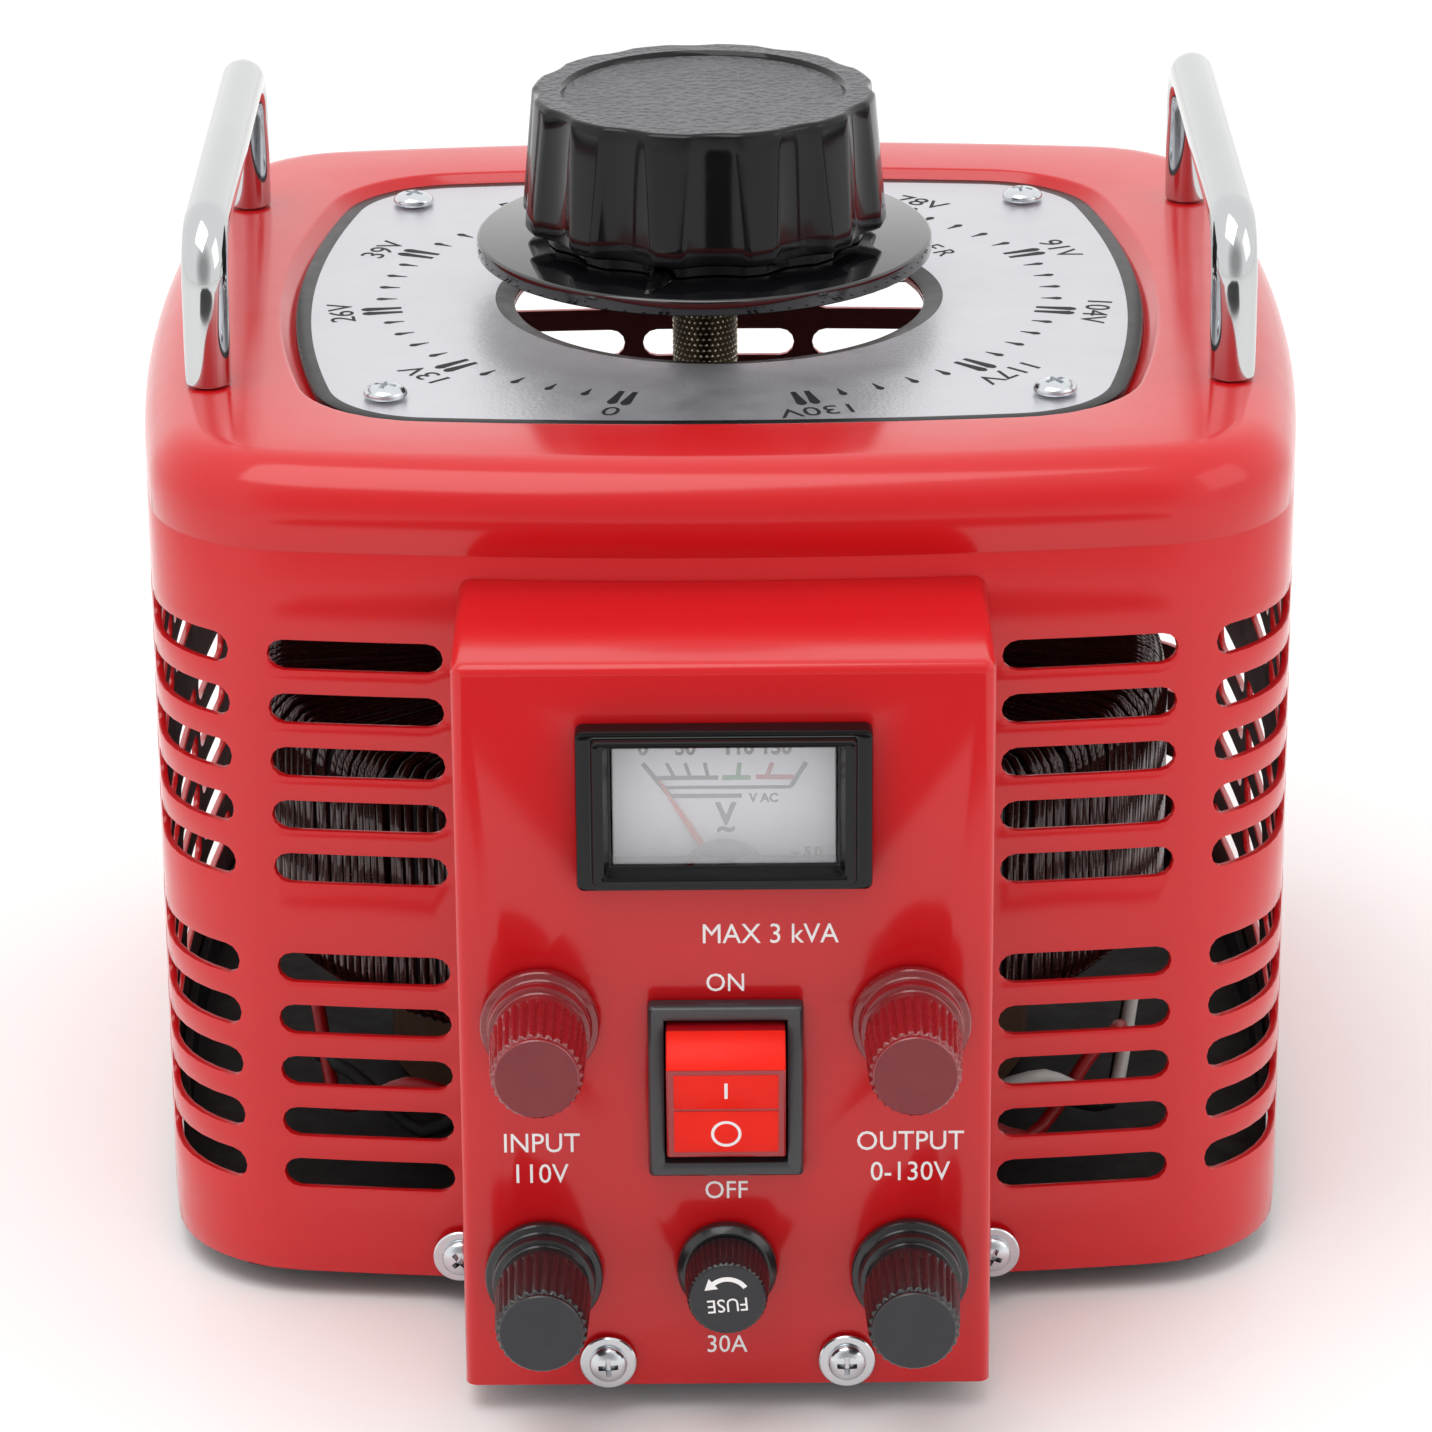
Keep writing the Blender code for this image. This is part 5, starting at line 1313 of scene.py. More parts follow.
@dataclass
class Leads:
    """The sleeved leads that lie loose under the coil, behind the lower slots."""

    radius: float = 1.3 * MM
    side: float = 66.0 * MM
    front: float = -38.0 * MM

    def build(self) -> None:
        """Lays a few leads from the panel to the coil."""
        tree = tube_tree()
        # Each lead's end, finish, slot, side, heights along the way in millimetres and shift to the back.
        runs = (
            ("red_left", LEAD_RED, "red_moulding", -1.0, (8.0, 22.0, 12.0, 26.0), 0.0),
            ("black_left", RUBBER, "black_phenolic", -1.0, (26.0, 11.0, 18.0, 9.0), 4.0),
            ("red_right", LEAD_RED, "red_moulding", 1.0, (20.0, 10.0, 24.0, 13.0), 2.0),
            ("white_right", LEAD_WHITE, "meter_white", 1.0, (9.0, 24.0, 14.0, 27.0), -3.0),
            ("black_right", RUBBER, "black_phenolic", 1.0, (27.0, 16.0, 8.0, 20.0), 7.0),
        )
        for end, finish, slot, sign, heights, back in runs:
            spots = [(self.side - 34.0 * MM, self.front, heights[0]), (self.side - 12.0 * MM, self.front, heights[1]),
                     (self.side + 4.0 * MM, self.front + 14.0 * MM, heights[2]),
                     (self.side + 10.0 * MM, self.front + 42.0 * MM, heights[3])]
            path = []
            for first, second in zip(spots, spots[1:]):
                for step in range(6):
                    share = step / 6
                    ease = share * share * (3.0 - 2.0 * share)
                    path.append((sign * (first[0] + (second[0] - first[0]) * share),
                                 first[1] + (second[1] - first[1]) * share + back * MM,
                                 (first[2] + (second[2] - first[2]) * ease) * MM))
            mesh = tree.bake(curve_object("path", path, False), finish, {"Radius": self.radius, "Facets": 12})
            mesh.transform(CASE @ Matrix.Translation((0.0, -CASE_Y, 0.0)))
            show(to_object(f"lead_{end}", mesh, (finish,), 60.0), "case", slot)


@dataclass
class Screws:
    """Pan-head screws with a cross recess, with or without a washer."""

    washer_rise: float = 0.8 * MM

    def head(self, radius: float, height: float, washer: float) -> bpy.types.Object:
        """Makes one head that stands on the plane of Z = 0.

        Args:
            radius: the head's radius.
            height: the head's height.
            washer: the washer's radius, or 0 for none.
        Returns:
            The stamp.
        """
        base = self.washer_rise if washer else 0.0
        profile = [(0.1 * MM, base), (radius * 0.97, base), (radius, base + height * 0.12)]
        for step in range(1, 9):
            angle = math.pi / 2.0 * step / 8
            profile.append((0.1 * MM + (radius - 0.1 * MM) * math.cos(angle) ** 0.85,
                            base + height * (0.2 + 0.8 * math.sin(angle))))
        head = to_object("head", turned(profile, 48), (ZINC,))
        slots = []
        for turn in (0.0, math.pi / 2.0):
            wide, reach = radius * 0.15, radius * 0.58
            top, bottom = base + height * 1.1, base + height * 0.25
            slot = loft([[(-reach * s, -wide * s, z), (reach * s, -wide * s, z), (reach * s, wide * s, z),
                          (-reach * s, wide * s, z)] for s, z in ((0.55, bottom), (1.0, top))])
            slots.append(moved(slot, Matrix.Rotation(turn, 4, "Z")))
        cut(head, slots[:1])
        cut(head, slots[1:])
        if washer:
            disc = turned([(radius * 0.5, 0.0), (washer - 0.15 * MM, 0.0), (washer, 0.15 * MM),
                           (washer, base - 0.2 * MM), (washer - 0.2 * MM, base), (radius * 0.5, base)], 48, ring=True)
            shape = bmesh.new()
            shape.from_mesh(head.data)
            bpy.data.objects.remove(head)
            head = to_object("head", joined([shape, disc]), (ZINC,))
        return head

    def build(self) -> None:
        """Sets the screws of the dial plate, the panel and the case."""
        tree = spread_tree()
        # Each group's name, ends, head radius, head height, washer radius, tilt and seed.
        groups = (
            ("dial", ("front_left", "front_right", "back_left", "back_right"), 3.8 * MM, 2.0 * MM, 0.0, 0.0, 3),
            ("panel", ("left", "right"), 3.2 * MM, 1.9 * MM, 4.7 * MM, math.pi / 2.0, 5),
            ("case", ("left", "right"), 3.2 * MM, 1.9 * MM, 4.7 * MM, math.pi / 2.0, 8),
        )
        for group, ends, radius, height, washer, tilt, seed in groups:
            nodes = [f"{group}_screw_{end}" for end in ends]
            spots = []
            for node in nodes:
                low, high = (Vector(corner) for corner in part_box(node))
                middle = (low + high) / 2.0
                rise = self.washer_rise if washer else 0.0
                if tilt:
                    spots.append((middle.x, low.y + height + rise, middle.z))
                else:
                    spots.append((middle.x, middle.y, high.z - height))
            stamp = self.head(radius, height, washer)
            mesh = tree.bake(points_object("none", spots), ZINC, {"Stamp": stamp, "Tilt": tilt, "Seed": seed})
            bpy.data.objects.remove(stamp)
            show(to_object(f"{group}_screws", mesh, (ZINC,)), "case", "zinc", *nodes)


@dataclass
class ControlBox:
    """The folded sheet box in front of the case, with its print."""

    width: float = 88.0 * MM
    height: float = 129.5 * MM
    wall: float = 1.5 * MM
    fold: float = 2.0 * MM
    back: float = CASE_Y - CASE_PLAN.half_y + 10.0 * MM
    # Rectangular holes by their middle's height, half width and half height.
    meter_hole: Point = (105.9 * MM, 21.5 * MM, 12.5 * MM)
    switch_hole: Point = (SWITCH_HEIGHT, 11.2 * MM, 13.9 * MM)
    fuse_hole: float = 6.2 * MM
    post_hole: float = 5.0 * MM
    # The side flanges are notched round the case's screws.
    notch_x: float = 46.2 * MM
    notch_height: float = 4.7 * MM
    notch_radius: float = 5.2 * MM

    def hole(self, height: float, half_x: float, half_z: float) -> bmesh.types.BMesh:
        """Makes the cutter of a rectangular hole in the panel's middle."""
        return moved(prism([(-half_x, height - half_z), (half_x, height - half_z),
                            (half_x, height + half_z), (-half_x, height + half_z)], -5.0 * MM, 5.0 * MM), PANEL)

    def round_hole(self, x: float, height: float, radius: float) -> bmesh.types.BMesh:
        """Makes the cutter of a round hole in the panel."""
        drill = turned([(radius, -5.0 * MM), (radius, 5.0 * MM)], 32)
        return moved(drill, PANEL @ Matrix.Translation((x, height, 0.0)))

    def build(self) -> None:
        """Folds the box and cuts its holes."""
        half = self.width / 2.0
        depth = self.back - PANEL_Y
        shape = prism([(-half, 0.0), (half, 0.0), (half, self.height), (-half, self.height)], -depth, 0.0)
        corners = [edge for edge in shape.edges if all(v.co.z > -0.5 * MM and v.co.y > 0.5 * MM for v in edge.verts)]
        corners += [edge for edge in shape.edges if abs(edge.verts[0].co.x - edge.verts[1].co.x) < 1e-6
                    and all(v.co.z > -0.5 * MM for v in edge.verts) and edge not in corners]
        corners += [edge for edge in shape.edges if all(v.co.y > 0.5 * MM for v in edge.verts)
                    and abs(edge.verts[0].co.z - edge.verts[1].co.z) > 1.0 * MM and edge not in corners]
        bmesh.ops.bevel(shape, geom=corners, offset=self.fold, segments=6, profile=0.5, affect="EDGES")
        box = to_object("folded_box", moved(shape, PANEL), (ENAMEL,), 30.0)
        inside = self.wall
        hollow = rounded_box((-half + inside, -10.0 * MM, -depth - 10.0 * MM),
                             (half - inside, self.height - inside, -inside), 0.0)
        cut(box, [moved(hollow, PANEL)])
        case = loft([CASE_PLAN.loop(-GAP, -20.0 * MM), CASE_PLAN.loop(-GAP, 160.0 * MM)])
        cut(box, [moved(case, CASE)])
        notch_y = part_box("case_screw_left")[1][1]
        notches = [moved(turned([(self.notch_radius, -8.0 * MM), (self.notch_radius, 8.0 * MM)], 32),
                         Matrix.Translation((x * self.notch_x, notch_y - 6.0 * MM, FLOOR + self.notch_height))
                         @ Matrix.Rotation(math.pi / 2.0, 4, "X")) for _, x in SIDES]
        cut(box, notches)
        holes = [self.hole(*self.meter_hole), self.hole(*self.switch_hole),
                 self.round_hole(0.0, FUSE_HEIGHT, self.fuse_hole)]
        holes += [self.round_hole(x * POST_X, height, self.post_hole) for _, x in SIDES
                  for _, height in POST_HEIGHTS]
        cut(box, holes)
        round_edges(box, 0.22 * MM, 2, 60.0)
        show(box, "case", "red_enamel", "control_box")

    def build_print(self) -> None:
        """Letters the panel."""
        x = POST_X
        # Each word's text, distance from the middle, height on the panel and capitals' height.
        words = (
            ("MAX 3 kVA", 7.5 * MM, 82.5, 3.6), ("ON", 0.0, 73.8, 3.3), ("OFF", 0.0, 36.2, 3.3),
            ("INPUT", -x, 45.0, 3.6), ("OUTPUT", x, 45.0, 3.6), ("110V", -x, 39.4, 3.6), ("0-130V", x, 39.4, 3.6),
            ("30A", 0.0, 7.6, 3.3),
        )
        shapes = [moved(lettering(text, size * MM, 0.92), Matrix.Translation((across, height * MM, 0.02 * MM)))
                  for text, across, height, size in words]
        show(to_object("panel_print", moved(joined(shapes), PANEL), (WHITE_INK,), None), "case", "red_enamel")


@dataclass
class Meter:
    """The panel meter: stepped bezel, card, hub cover, needle and window."""

    height: float = 105.6 * MM
    half_x: float = 24.0 * MM
    half_z: float = 13.9 * MM
    window_low: float = -9.7 * MM
    window_high: float = 11.2 * MM
    pivot: float = -15.6 * MM

    def build_bezel(self) -> None:
        """Moulds the bezel and the housing behind it."""
        x, z = self.half_x / MM, self.half_z / MM
        # Each level's half width, lower edge, upper edge, corner radius and rise, in millimetres.
        levels = (
            (x, -z, z, 1.2, 0.3), (x, -z, z, 1.2, 3.7), (x - 0.15, -z + 0.15, z - 0.15, 1.1, 4.05),
            (x - 0.5, -z + 0.5, z - 0.5, 0.9, 4.2), (x - 2.3, -z + 1.5, z - 0.9, 0.8, 4.2),
            (x - 2.45, -z + 1.6, z - 1.0, 0.8, 4.35), (x - 2.6, -z + 1.7, z - 1.1, 0.8, 5.7),
            (x - 2.85, -z + 1.9, z - 1.3, 0.7, 6.1), (x - 3.2, -z + 2.2, z - 1.5, 0.7, 6.2),
            (x - 4.2, -z + 2.9, z - 1.9, 0.6, 6.2), (x - 4.5, -z + 3.15, z - 2.1, 0.6, 6.05),
            (18.7, -10.0, 11.5, 0.5, 3.9), (18.4, -9.7, 11.2, 0.4, 3.7), (18.4, -9.7, 11.2, 0.4, -0.7),
            (18.4, -17.4, 11.2, 0.4, -0.7), (18.4, -17.4, 11.2, 0.4, -6.4), (21.9, -18.6, 13.0, 0.4, -6.4),
            (21.9, -18.6, 13.0, 0.4, -1.8), (21.2, -11.9, 12.5, 0.4, -1.8), (21.2, -11.9, 12.5, 0.4, 0.3),
        )
        loops = [round_rectangle(*(value * MM for value in level)) for level in levels]
        place = PANEL @ Matrix.Translation((0.0, self.height, 0.0))
        show(to_object("meter_bezel", moved(loft(loops, ring=True), place), (PHENOLIC,), 28.0), "case",
             "black_phenolic", "meter_case")

    def bar(self, start: Flat, end: Flat, wide: float) -> bmesh.types.BMesh:
        """Prints a straight bar on the card.

        Args:
            start: one end, in millimetres from the meter's centre.
            end: the other end.
            wide: its width in millimetres.
        Returns:
            The raised print.
        """
        a, b = Vector(start), Vector(end)
        side = Vector((a.y - b.y, b.x - a.x)).normalized() * wide / 2.0
        corners = (a + side, a - side, b - side, b + side)
        return prism([(corner.x * MM, corner.y * MM) for corner in corners], 0.0, 0.02 * MM)

    def build_card(self) -> None:
        """Makes the card and its print."""
        place = PANEL @ Matrix.Translation((0.0, self.height, -5.1 * MM))
        card = rounded_box((-18.1 * MM, -17.1 * MM, -1.2 * MM), (18.1 * MM, 10.9 * MM, 0.0), 0.15 * MM)
        show(to_object("meter_card_plate", moved(card, place), (CARD,)), "case", "meter_white", "meter_dial")
        slanted = (((-13.2, 4.8), (-8.6, -1.2), 0.8), ((13.4, 4.8), (10.9, 0.6), 0.8), ((-9.3, 4.8), (-8.1, 2.4), 0.6),
                   ((-6.3, 4.8), (-5.5, 2.4), 0.6), ((-3.1, 4.8), (-2.6, 2.4), 0.6))
        level = (((-10.8, 2.2), (-0.9, 2.2), 0.75), ((-9.8, 0.5), (11.0, 0.5), 0.6), ((-8.7, -1.0), (2.9, -1.0), 0.75))
        grey = [self.bar(*line) for line in slanted + level]
        words = (("0", -13.1, 7.6, 2.6), ("50", -6.2, 7.6, 2.6), ("110", 2.7, 7.6, 2.6), ("150", 8.8, 7.6, 2.6),
                 ("V AC", 6.4, -1.3, 1.6), ("V", 0.3, -4.0, 3.9), ("~", 0.3, -6.4, 3.6), ("~ 5.0", 13.4, -10.9, 1.9))
        grey += [moved(lettering(text, size * MM, 0.95, 0.035), Matrix.Translation((x * MM, z * MM, 0.0)))
                 for text, x, z, size in words]
        green = [self.bar((-0.3, 2.2), (4.4, 2.2), 0.85), self.bar((2.3, 2.4), (2.6, 4.8), 0.75)]
        pink = [self.bar((5.2, 2.3), (11.4, 2.2), 0.85), self.bar((7.0, 2.4), (7.9, 4.8), 0.75)]
        for name, shapes, ink in (("dark", grey, GREY_INK), ("green", green, GREEN_INK), ("crimson", pink, PINK_INK)):
            show(to_object(f"meter_print_{name}", moved(joined(shapes), place), (ink,), None), "case", "meter_white")

    def build_cover(self) -> None:
        """Makes the smoked hub cover and the window."""
        place = PANEL @ Matrix.Translation((0.0, self.height, 0.0))
        radius, steps = 7.7 * MM, 32
        outline = [(radius * math.cos(math.pi * i / steps), self.pivot + radius * math.sin(math.pi * i / steps))
                   for i in range(steps + 1)]
        hub = prism(outline, -3.6 * MM, -2.8 * MM)
        cover = to_object("meter_hub_cover", moved(hub, place), (SMOKED,))
        round_edges(cover, 0.2 * MM, 2, 50.0)
        show(cover, "case", "grey_cover", "meter_hub")
        pane = rounded_box((-18.1 * MM, self.window_low + GAP, 2.2 * MM), (18.1 * MM, self.window_high - GAP, 3.6 * MM),
                           0.35 * MM, 3)
        show(to_object("meter_pane", moved(pane, place), (ACRYLIC,)), "case", "clear_acrylic", "meter_window")


@dataclass
class Switch:
    """The lit rocker switch and its frame."""

    half_x: float = 12.8 * MM
    half_z: float = 15.5 * MM
    frame: float = 2.7 * MM
    pivot: float = 1.5 * MM
    radius: float = 12.5 * MM
    face: float = 8.5 * MM
    tilt: float = math.radians(15.0)

    def build_frame(self) -> None:
        """Moulds the frame and its deep well."""
        x, z, f = self.half_x, self.half_z, self.frame
        # Each level's half width, half height, rise and corner radius, the last two in millimetres.
        levels = [(x, z, 0.3, 0.8), (x, z, 2.0, 0.8), (x - 0.2 * MM, z - 0.2 * MM, 2.6, 0.7),
                  (x - 0.6 * MM, z - 0.6 * MM, 3.0, 0.6), (x - f + 0.5 * MM, z - f + 0.5 * MM, 3.0, 0.4),
                  (x - f + 0.1 * MM, z - f + 0.1 * MM, 2.8, 0.3), (x - f, z - f, 2.4, 0.3), (x - f, z - f, -13.5, 0.3),
                  (10.9 * MM, 13.6 * MM, -13.5, 0.4), (10.9 * MM, 13.6 * MM, 0.3, 0.4)]
        loops = [round_rectangle(half_x, -half_z, half_z, radius * MM, proud * MM)
                 for half_x, half_z, proud, radius in levels]
        place = PANEL @ Matrix.Translation((0.0, SWITCH_HEIGHT, 0.0))
        show(to_object("switch_frame", moved(loft(loops, ring=True), place), (FRAME_NYLON,), 30.0), "case",
             "black_phenolic", "switch_body")

    def build_rocker(self) -> None:
        """Moulds the rocker with its two lit faces and their signs."""
        half_face = math.sqrt(self.radius ** 2 - self.face ** 2)
        end = math.atan2(half_face, self.face)
        middle = (self.face - 1.1 * MM, 0.0)
        upper = []
        for step in range(9):
            angle = end + (math.radians(92.0) - end) * step / 8
            upper.append((self.radius * math.cos(angle), self.radius * math.sin(angle)))
        upper.append((-6.0 * MM, 7.0 * MM))
        outline = [middle] + upper + [(out, -up) for out, up in reversed(upper)]
        wide = self.half_x - self.frame - GAP
        body = loft([[(x, up, out) for out, up in outline] for x in (-wide, wide)])
        # The upper end's faces take the bright lens red: a painted highlight of the light from above, which the lower
        # end does not get.
        for face in body.faces:
            middle_point = face.calc_center_median()
            if middle_point.y > upper[0][1] and middle_point.z > 1.5 * MM and abs(middle_point.x) < 1.0 * MM:
                face.material_index = 1
        turn = PANEL @ Matrix.Translation((0.0, SWITCH_HEIGHT, -self.pivot)) @ Matrix.Rotation(self.tilt, 4, "X")
        rocker = to_object("rocker_shell", moved(body, turn), (LENS_RIM, LENS), None)
        round_edges(rocker, 0.35 * MM, 3, 40.0)
        show(rocker, "rocker", "lens", "switch_rocker")
        faces, signs = [], []
        for sign, letter in ((1.0, "I"), (-1.0, "O")):
            start = Vector((middle[0], 0.0))
            stop = Vector((upper[0][0], upper[0][1] * sign))
            length = (stop - start).length
            lean = Matrix.Rotation(math.atan2(stop.x - start.x, abs(stop.y)) * sign, 4, "X")
            slab = rounded_box((-wide + 1.2 * MM, 0.25 * MM, -0.6 * MM),
                               (wide - 1.2 * MM, length - 1.0 * MM, 0.10 * MM), 0.08 * MM)
            flip = Matrix.Diagonal((1.0, sign, 1.0, 1.0))
            face = moved(slab, Matrix.Translation((0.0, start.y, start.x)) @ lean @ flip)
            faces.append(face)
            word = (prism([(-0.27 * MM, -1.8 * MM), (0.27 * MM, -1.8 * MM), (0.27 * MM, 1.8 * MM),
                           (-0.27 * MM, 1.8 * MM)], 0.0, INK_RISE) if letter == "I" else
                    turned([(2.0 * MM, 0.0), (2.5 * MM, 0.0), (2.5 * MM, INK_RISE), (2.0 * MM, INK_RISE)], 40,
                           ring=True))
            signs.append(moved(word, Matrix.Translation((0.0, start.y, start.x)) @ lean
                               @ Matrix.Translation((0.0, sign * length * 0.5, 0.11 * MM))))
        show(to_object("rocker_faces", moved(joined(faces), turn), (LENS,)), "rocker", "lens")
        show(to_object("rocker_signs", moved(joined(signs), turn), (WHITE_INK,), None), "rocker", "lens")


def ribbed(radius: float, height: float, depth: float, ribs: int) -> list[Point]:
    """Draws one level of a ribbed grip.

    Args:
        radius: the radius over the ribs.
        height: the level's height.
        depth: how deep the grooves are.
        ribs: how many ribs.
    Returns:
        The loop of points.
    """
    shares = (0.0, 0.0, 0.35, 1.0, 1.0, 0.35)
    loop = []
    for step in range(ribs * len(shares)):
        angle = math.tau * step / (ribs * len(shares))
        reach = radius - depth * shares[step % len(shares)]
        loop.append((reach * math.cos(angle), reach * math.sin(angle), height))
    return loop


@dataclass
class Posts:
    """Four binding posts: a flanged base and a ribbed cap each."""

    ribs: int = 30

    def build(self) -> None:
        """Moulds every base and cap."""
        # The base by radius and rise, the cap by radius, rise and groove depth, in millimetres.
        base = [(2.4, -7.5), (4.6, -7.5), (4.6, 0.3), (9.5, 0.3), (9.8, 0.6), (9.8, 1.9), (9.6, 2.2), (9.3, 2.3),
                (8.7, 2.45), (8.5, 2.7), (8.5, 4.7), (8.35, 5.0), (8.1, 5.1), (7.6, 5.2), (7.4, 5.5), (7.4, 7.8),
                (7.2, 8.0), (2.4, 8.0)]
        cap = [(4.3, 8.3, 0.0), (7.5, 8.3, 0.0), (7.9, 8.6, 0.1), (8.0, 9.1, 0.42), (7.9, 12.0, 0.45),
               (7.75, 17.0, 0.45), (7.6, 20.6, 0.45), (7.5, 21.3, 0.42), (7.2, 21.6, 0.25), (7.0, 21.7, 0.1),
               (6.9, 22.3, 0.0), (6.7, 22.5, 0.0)]
        cap = [(0.1, 20.3, 0.0), (4.3, 20.3, 0.0)] + cap
        looks = [0] * (len(cap) - 1) + [0, 1]
        for side, sign in SIDES:
            for row, height in POST_HEIGHTS:
                end = f"{row}_{side}"
                red = row == "upper"
                finishes = (RED_MOULDING, RED_SATIN) if red else (NYLON, NYLON_SATIN)
                slot = "red_moulding" if red else "black_phenolic"
                place = PANEL @ Matrix.Translation((sign * POST_X, height, 0.0))
                foot = turned([(radius * MM, out * MM) for radius, out in base], 72, ring=True)
                show(to_object(f"post_foot_{end}", moved(foot, place), finishes, 30.0), "case", slot,
                     f"post_base_{end}")
                grip = loft([ribbed(radius * MM, out * MM, depth * MM, self.ribs) for radius, out, depth in cap],
                            looks=looks)
                show(to_object(f"post_grip_{end}", moved(grip, place), finishes, 30.0), f"post_cap_{end}", slot,
                     f"post_cap_{end}")


@dataclass
class Fuse:
    """The fuse holder's flange and its turning cap."""

    teeth: int = 40

    def build(self) -> None:
        """Moulds the holder and the cap with its sign."""
        place = PANEL @ Matrix.Translation((0.0, FUSE_HEIGHT, 0.0))
        holder = [(4.1, -34.0), (5.8, -34.0), (5.8, 0.3), (8.0, 0.3), (8.3, 0.6), (8.3, 2.1), (8.1, 2.4), (7.6, 2.9),
                  (7.3, 3.15), (7.0, 3.2), (4.1, 3.2)]
        ring = turned([(radius * MM, out * MM) for radius, out in holder], 64, ring=True)
        show(to_object("fuse_flange", moved(ring, place), (NYLON,), 30.0), "case", "black_phenolic", "fuse_holder")
        cap = [(3.8, -1.0, 0.0), (3.8, 3.5, 0.0), (6.6, 3.5, 0.0), (6.95, 3.8, 0.1), (7.05, 4.4, 0.35),
               (6.95, 8.0, 0.38), (6.7, 11.8, 0.35), (6.55, 12.4, 0.2), (6.35, 12.6, 0.05), (6.2, 12.75, 0.0),
               (6.0, 12.6, 0.0)]
        grip = loft([ribbed(radius * MM, out * MM, depth * MM, self.teeth) for radius, out, depth in cap],
                    looks=[0] * 10 + [0, 1])
        show(to_object("fuse_grip", moved(grip, place), (NYLON, NYLON_SATIN), 30.0), "fuse_cap", "black_phenolic",
             "fuse_cap")
        arc = []
        inner, outer = 3.2 * MM, 4.0 * MM
        steps = 14
        for radius, order in ((outer, range(steps + 1)), (inner, reversed(range(steps + 1)))):
            for step in order:
                angle = math.radians(35.0 + 95.0 * step / steps)
                arc.append((radius * math.cos(angle), radius * math.sin(angle)))
        tip = math.radians(130.0)
        middle = (inner + outer) / 2.0
        point = Vector((middle * math.cos(tip), middle * math.sin(tip)))
        ahead = Vector((-math.sin(tip), math.cos(tip)))
        out = Vector((math.cos(tip), math.sin(tip)))
        head = [point + out * 1.2 * MM, point - out * 1.2 * MM, point + ahead * 1.9 * MM]
        shapes = [prism(arc, 0.0, INK_RISE), prism([(v.x, v.y) for v in head], 0.0, INK_RISE),
                  moved(lettering("FUSE", 2.5 * MM, 0.95), Matrix.Translation((0.0, -1.3 * MM, 0.0))
                        @ Matrix.Rotation(math.radians(185.0), 4, "Z"))]
        sign = moved(joined(shapes), place @ Matrix.Translation((0.0, 0.0, 12.62 * MM)))
        show(to_object("fuse_sign", sign, (WHITE_INK,), None), "fuse_cap", "black_phenolic")


@dataclass
class Carried:
    """The solids of the frame that are right as they are and only need their finish."""

    nodes: dict[str, bpy.types.Object]

    def dress(self) -> None:
        """Gives each carried solid its finish."""
        # The base plate takes the near-black painted shade of the case's inside.
        finishes = {
            "base_plate": CASE_FLOOR_SHADE, "panel_bracket": GALVANISED, "toroid_core": CORE_STEEL, "coil_stand_ring": FIBRE,
            "coil_clamp": FIBRE, "bearing_bush": BRASS, "dial_shaft": STEEL, "knob_grub_screw": ZINC,
            "brush_arm": CAST, "brush_holder": CAST, "carbon_brush": CARBON, "fuse_link": GLASS,
            "meter_needle": NEEDLE, "foot_": RUBBER, "post_stud_": BRASS, "post_insert_": BRASS,
        }
        for name, node in self.nodes.items():
            match = next((finish for start, finish in finishes.items() if name.startswith(start)), None)
            if match:
                for number in range(len(node.data.materials)):
                    node.data.materials[number] = match.material()
                log.info("%s gets %s", name, match.name)


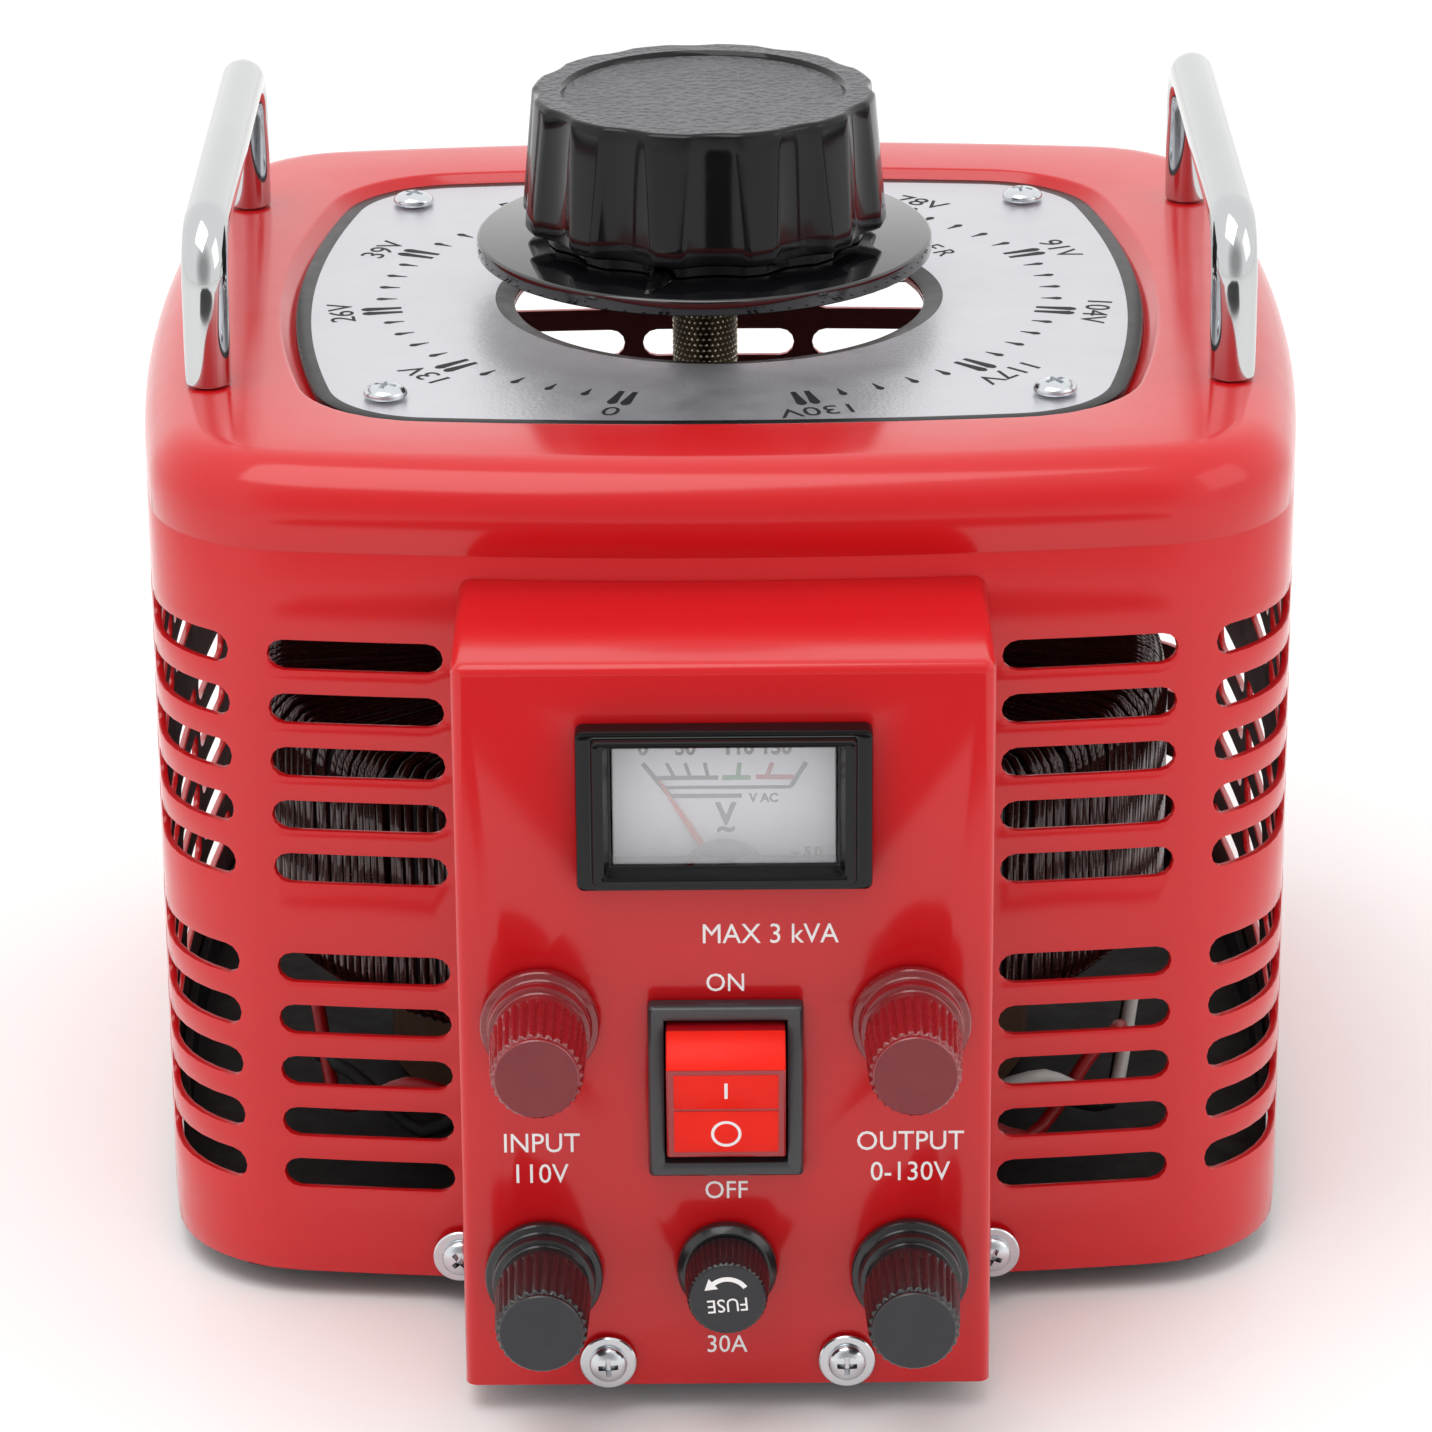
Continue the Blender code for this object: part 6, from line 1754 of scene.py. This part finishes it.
@dataclass
class Studio:
    """The bench, the light and the camera."""

    lens: float = 155.5
    place: Point = (-0.0019, -1.0376, 0.4895)
    pitch: float = math.radians(21.43)
    yaw: float = math.radians(0.043)
    roll: float = math.radians(-0.40)

    def build_camera(self) -> None:
        """Sets the camera up."""
        data = bpy.data.cameras.new("camera")
        data.lens = self.lens
        data.sensor_width = 36.0
        data.clip_end = 50.0
        camera = linked("camera", data)
        ahead = Vector((math.sin(self.yaw) * math.cos(self.pitch), math.cos(self.yaw) * math.cos(self.pitch),
                        -math.sin(self.pitch)))
        right = Vector((math.cos(self.yaw), -math.sin(self.yaw), 0.0))
        up = right.cross(ahead)
        across = right * math.cos(self.roll) + up * math.sin(self.roll)
        over = up * math.cos(self.roll) - right * math.sin(self.roll)
        turn = Matrix((across, over, -ahead)).transposed().to_4x4()
        camera.matrix_world = Matrix.Translation(self.place) @ turn
        bpy.context.scene.camera = camera

    def build_bench(self) -> None:
        """Lays the floor."""
        reach = 3.0
        floor = prism([(-reach, -reach), (reach, -reach), (reach, reach), (-reach, reach)], -20.0 * MM, 0.0)
        to_object("bench", floor, (BENCH,), None)

    def build_flag(self) -> None:
        """Lays a dark card before the camera, out of its sight, for the bright metal to mirror."""
        half, near, far = 0.3, -0.47, -1.3
        card = prism([(-half, far), (half, far), (half, near), (-half, near)], 1.0 * MM, 3.0 * MM)
        flag = to_object("dark_card", card, (RUBBER,), None)
        flag.visible_camera = False
        flag.visible_diffuse = False
        flag.visible_shadow = False

    def build_light(self) -> None:
        """Hangs soft lights in a white room that is darker behind the camera."""
        world = bpy.data.worlds.new("studio")
        bpy.context.scene.world = world
        world.use_nodes = True
        tree = world.node_tree
        tree.nodes.clear()
        way = add_node(tree, "ShaderNodeTexCoord").outputs["Generated"]
        facing = add_node(tree, VECTOR, (way, (0.0, -0.93, 0.36)), operation="DOT_PRODUCT")
        dark = add_node(tree, "ShaderNodeMapRange", {"Value": facing.outputs["Value"], "From Min": 0.75,
                                                     "From Max": 0.97, "To Min": 1.1, "To Max": 0.45})
        glow = add_node(tree, "ShaderNodeBackground", {"Color": (1.0, 1.0, 1.0, 1.0), "Strength": dark})
        add_node(tree, "ShaderNodeOutputWorld", {"Surface": glow})
        for name, spot, aim, size, power in (
                ("top softbox", (-0.4, -0.5, 1.9), (0.0, 0.0, 0.1), 1.4, 15.0),
                ("right softbox", (1.8, -0.6, 1.2), (0.0, 0.0, 0.1), 1.2, 4.0)):
            data = bpy.data.lights.new(name, "AREA")
            data.shape = "SQUARE"
            data.size = size
            data.energy = power
            light = linked(name, data)
            light.location = spot
            light.rotation_euler = (Vector(spot) - Vector(aim)).to_track_quat("Z", "Y").to_euler()
            light.visible_camera = False
        bpy.context.scene.view_settings.view_transform = "Standard"


def main() -> None:
    """Builds every sub-assembly round the frame."""
    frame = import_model()
    studio = Studio()
    studio.build_camera()
    studio.build_bench()
    studio.build_flag()
    studio.build_light()
    Carried(frame["nodes"]).dress()
    ring = ring_tree()
    cover = CaseCover()
    cover.build_cover()
    cover.build_handles()
    plate = DialPlate()
    plate.build_plate()
    plate.build_print(ring)
    knob = Knob()
    knob.build_knob()
    knob.build_disc()
    knob.build_collar(ring)
    Winding().build(ring)
    Leads().build()
    Screws().build()
    box = ControlBox()
    box.build()
    box.build_print()
    meter = Meter()
    meter.build_bezel()
    meter.build_card()
    meter.build_cover()
    switch = Switch()
    switch.build_frame()
    switch.build_rocker()
    Posts().build()
    Fuse().build()


if __name__ == "__main__":
    logging.basicConfig(level=logging.INFO, format="%(message)s")
    main()
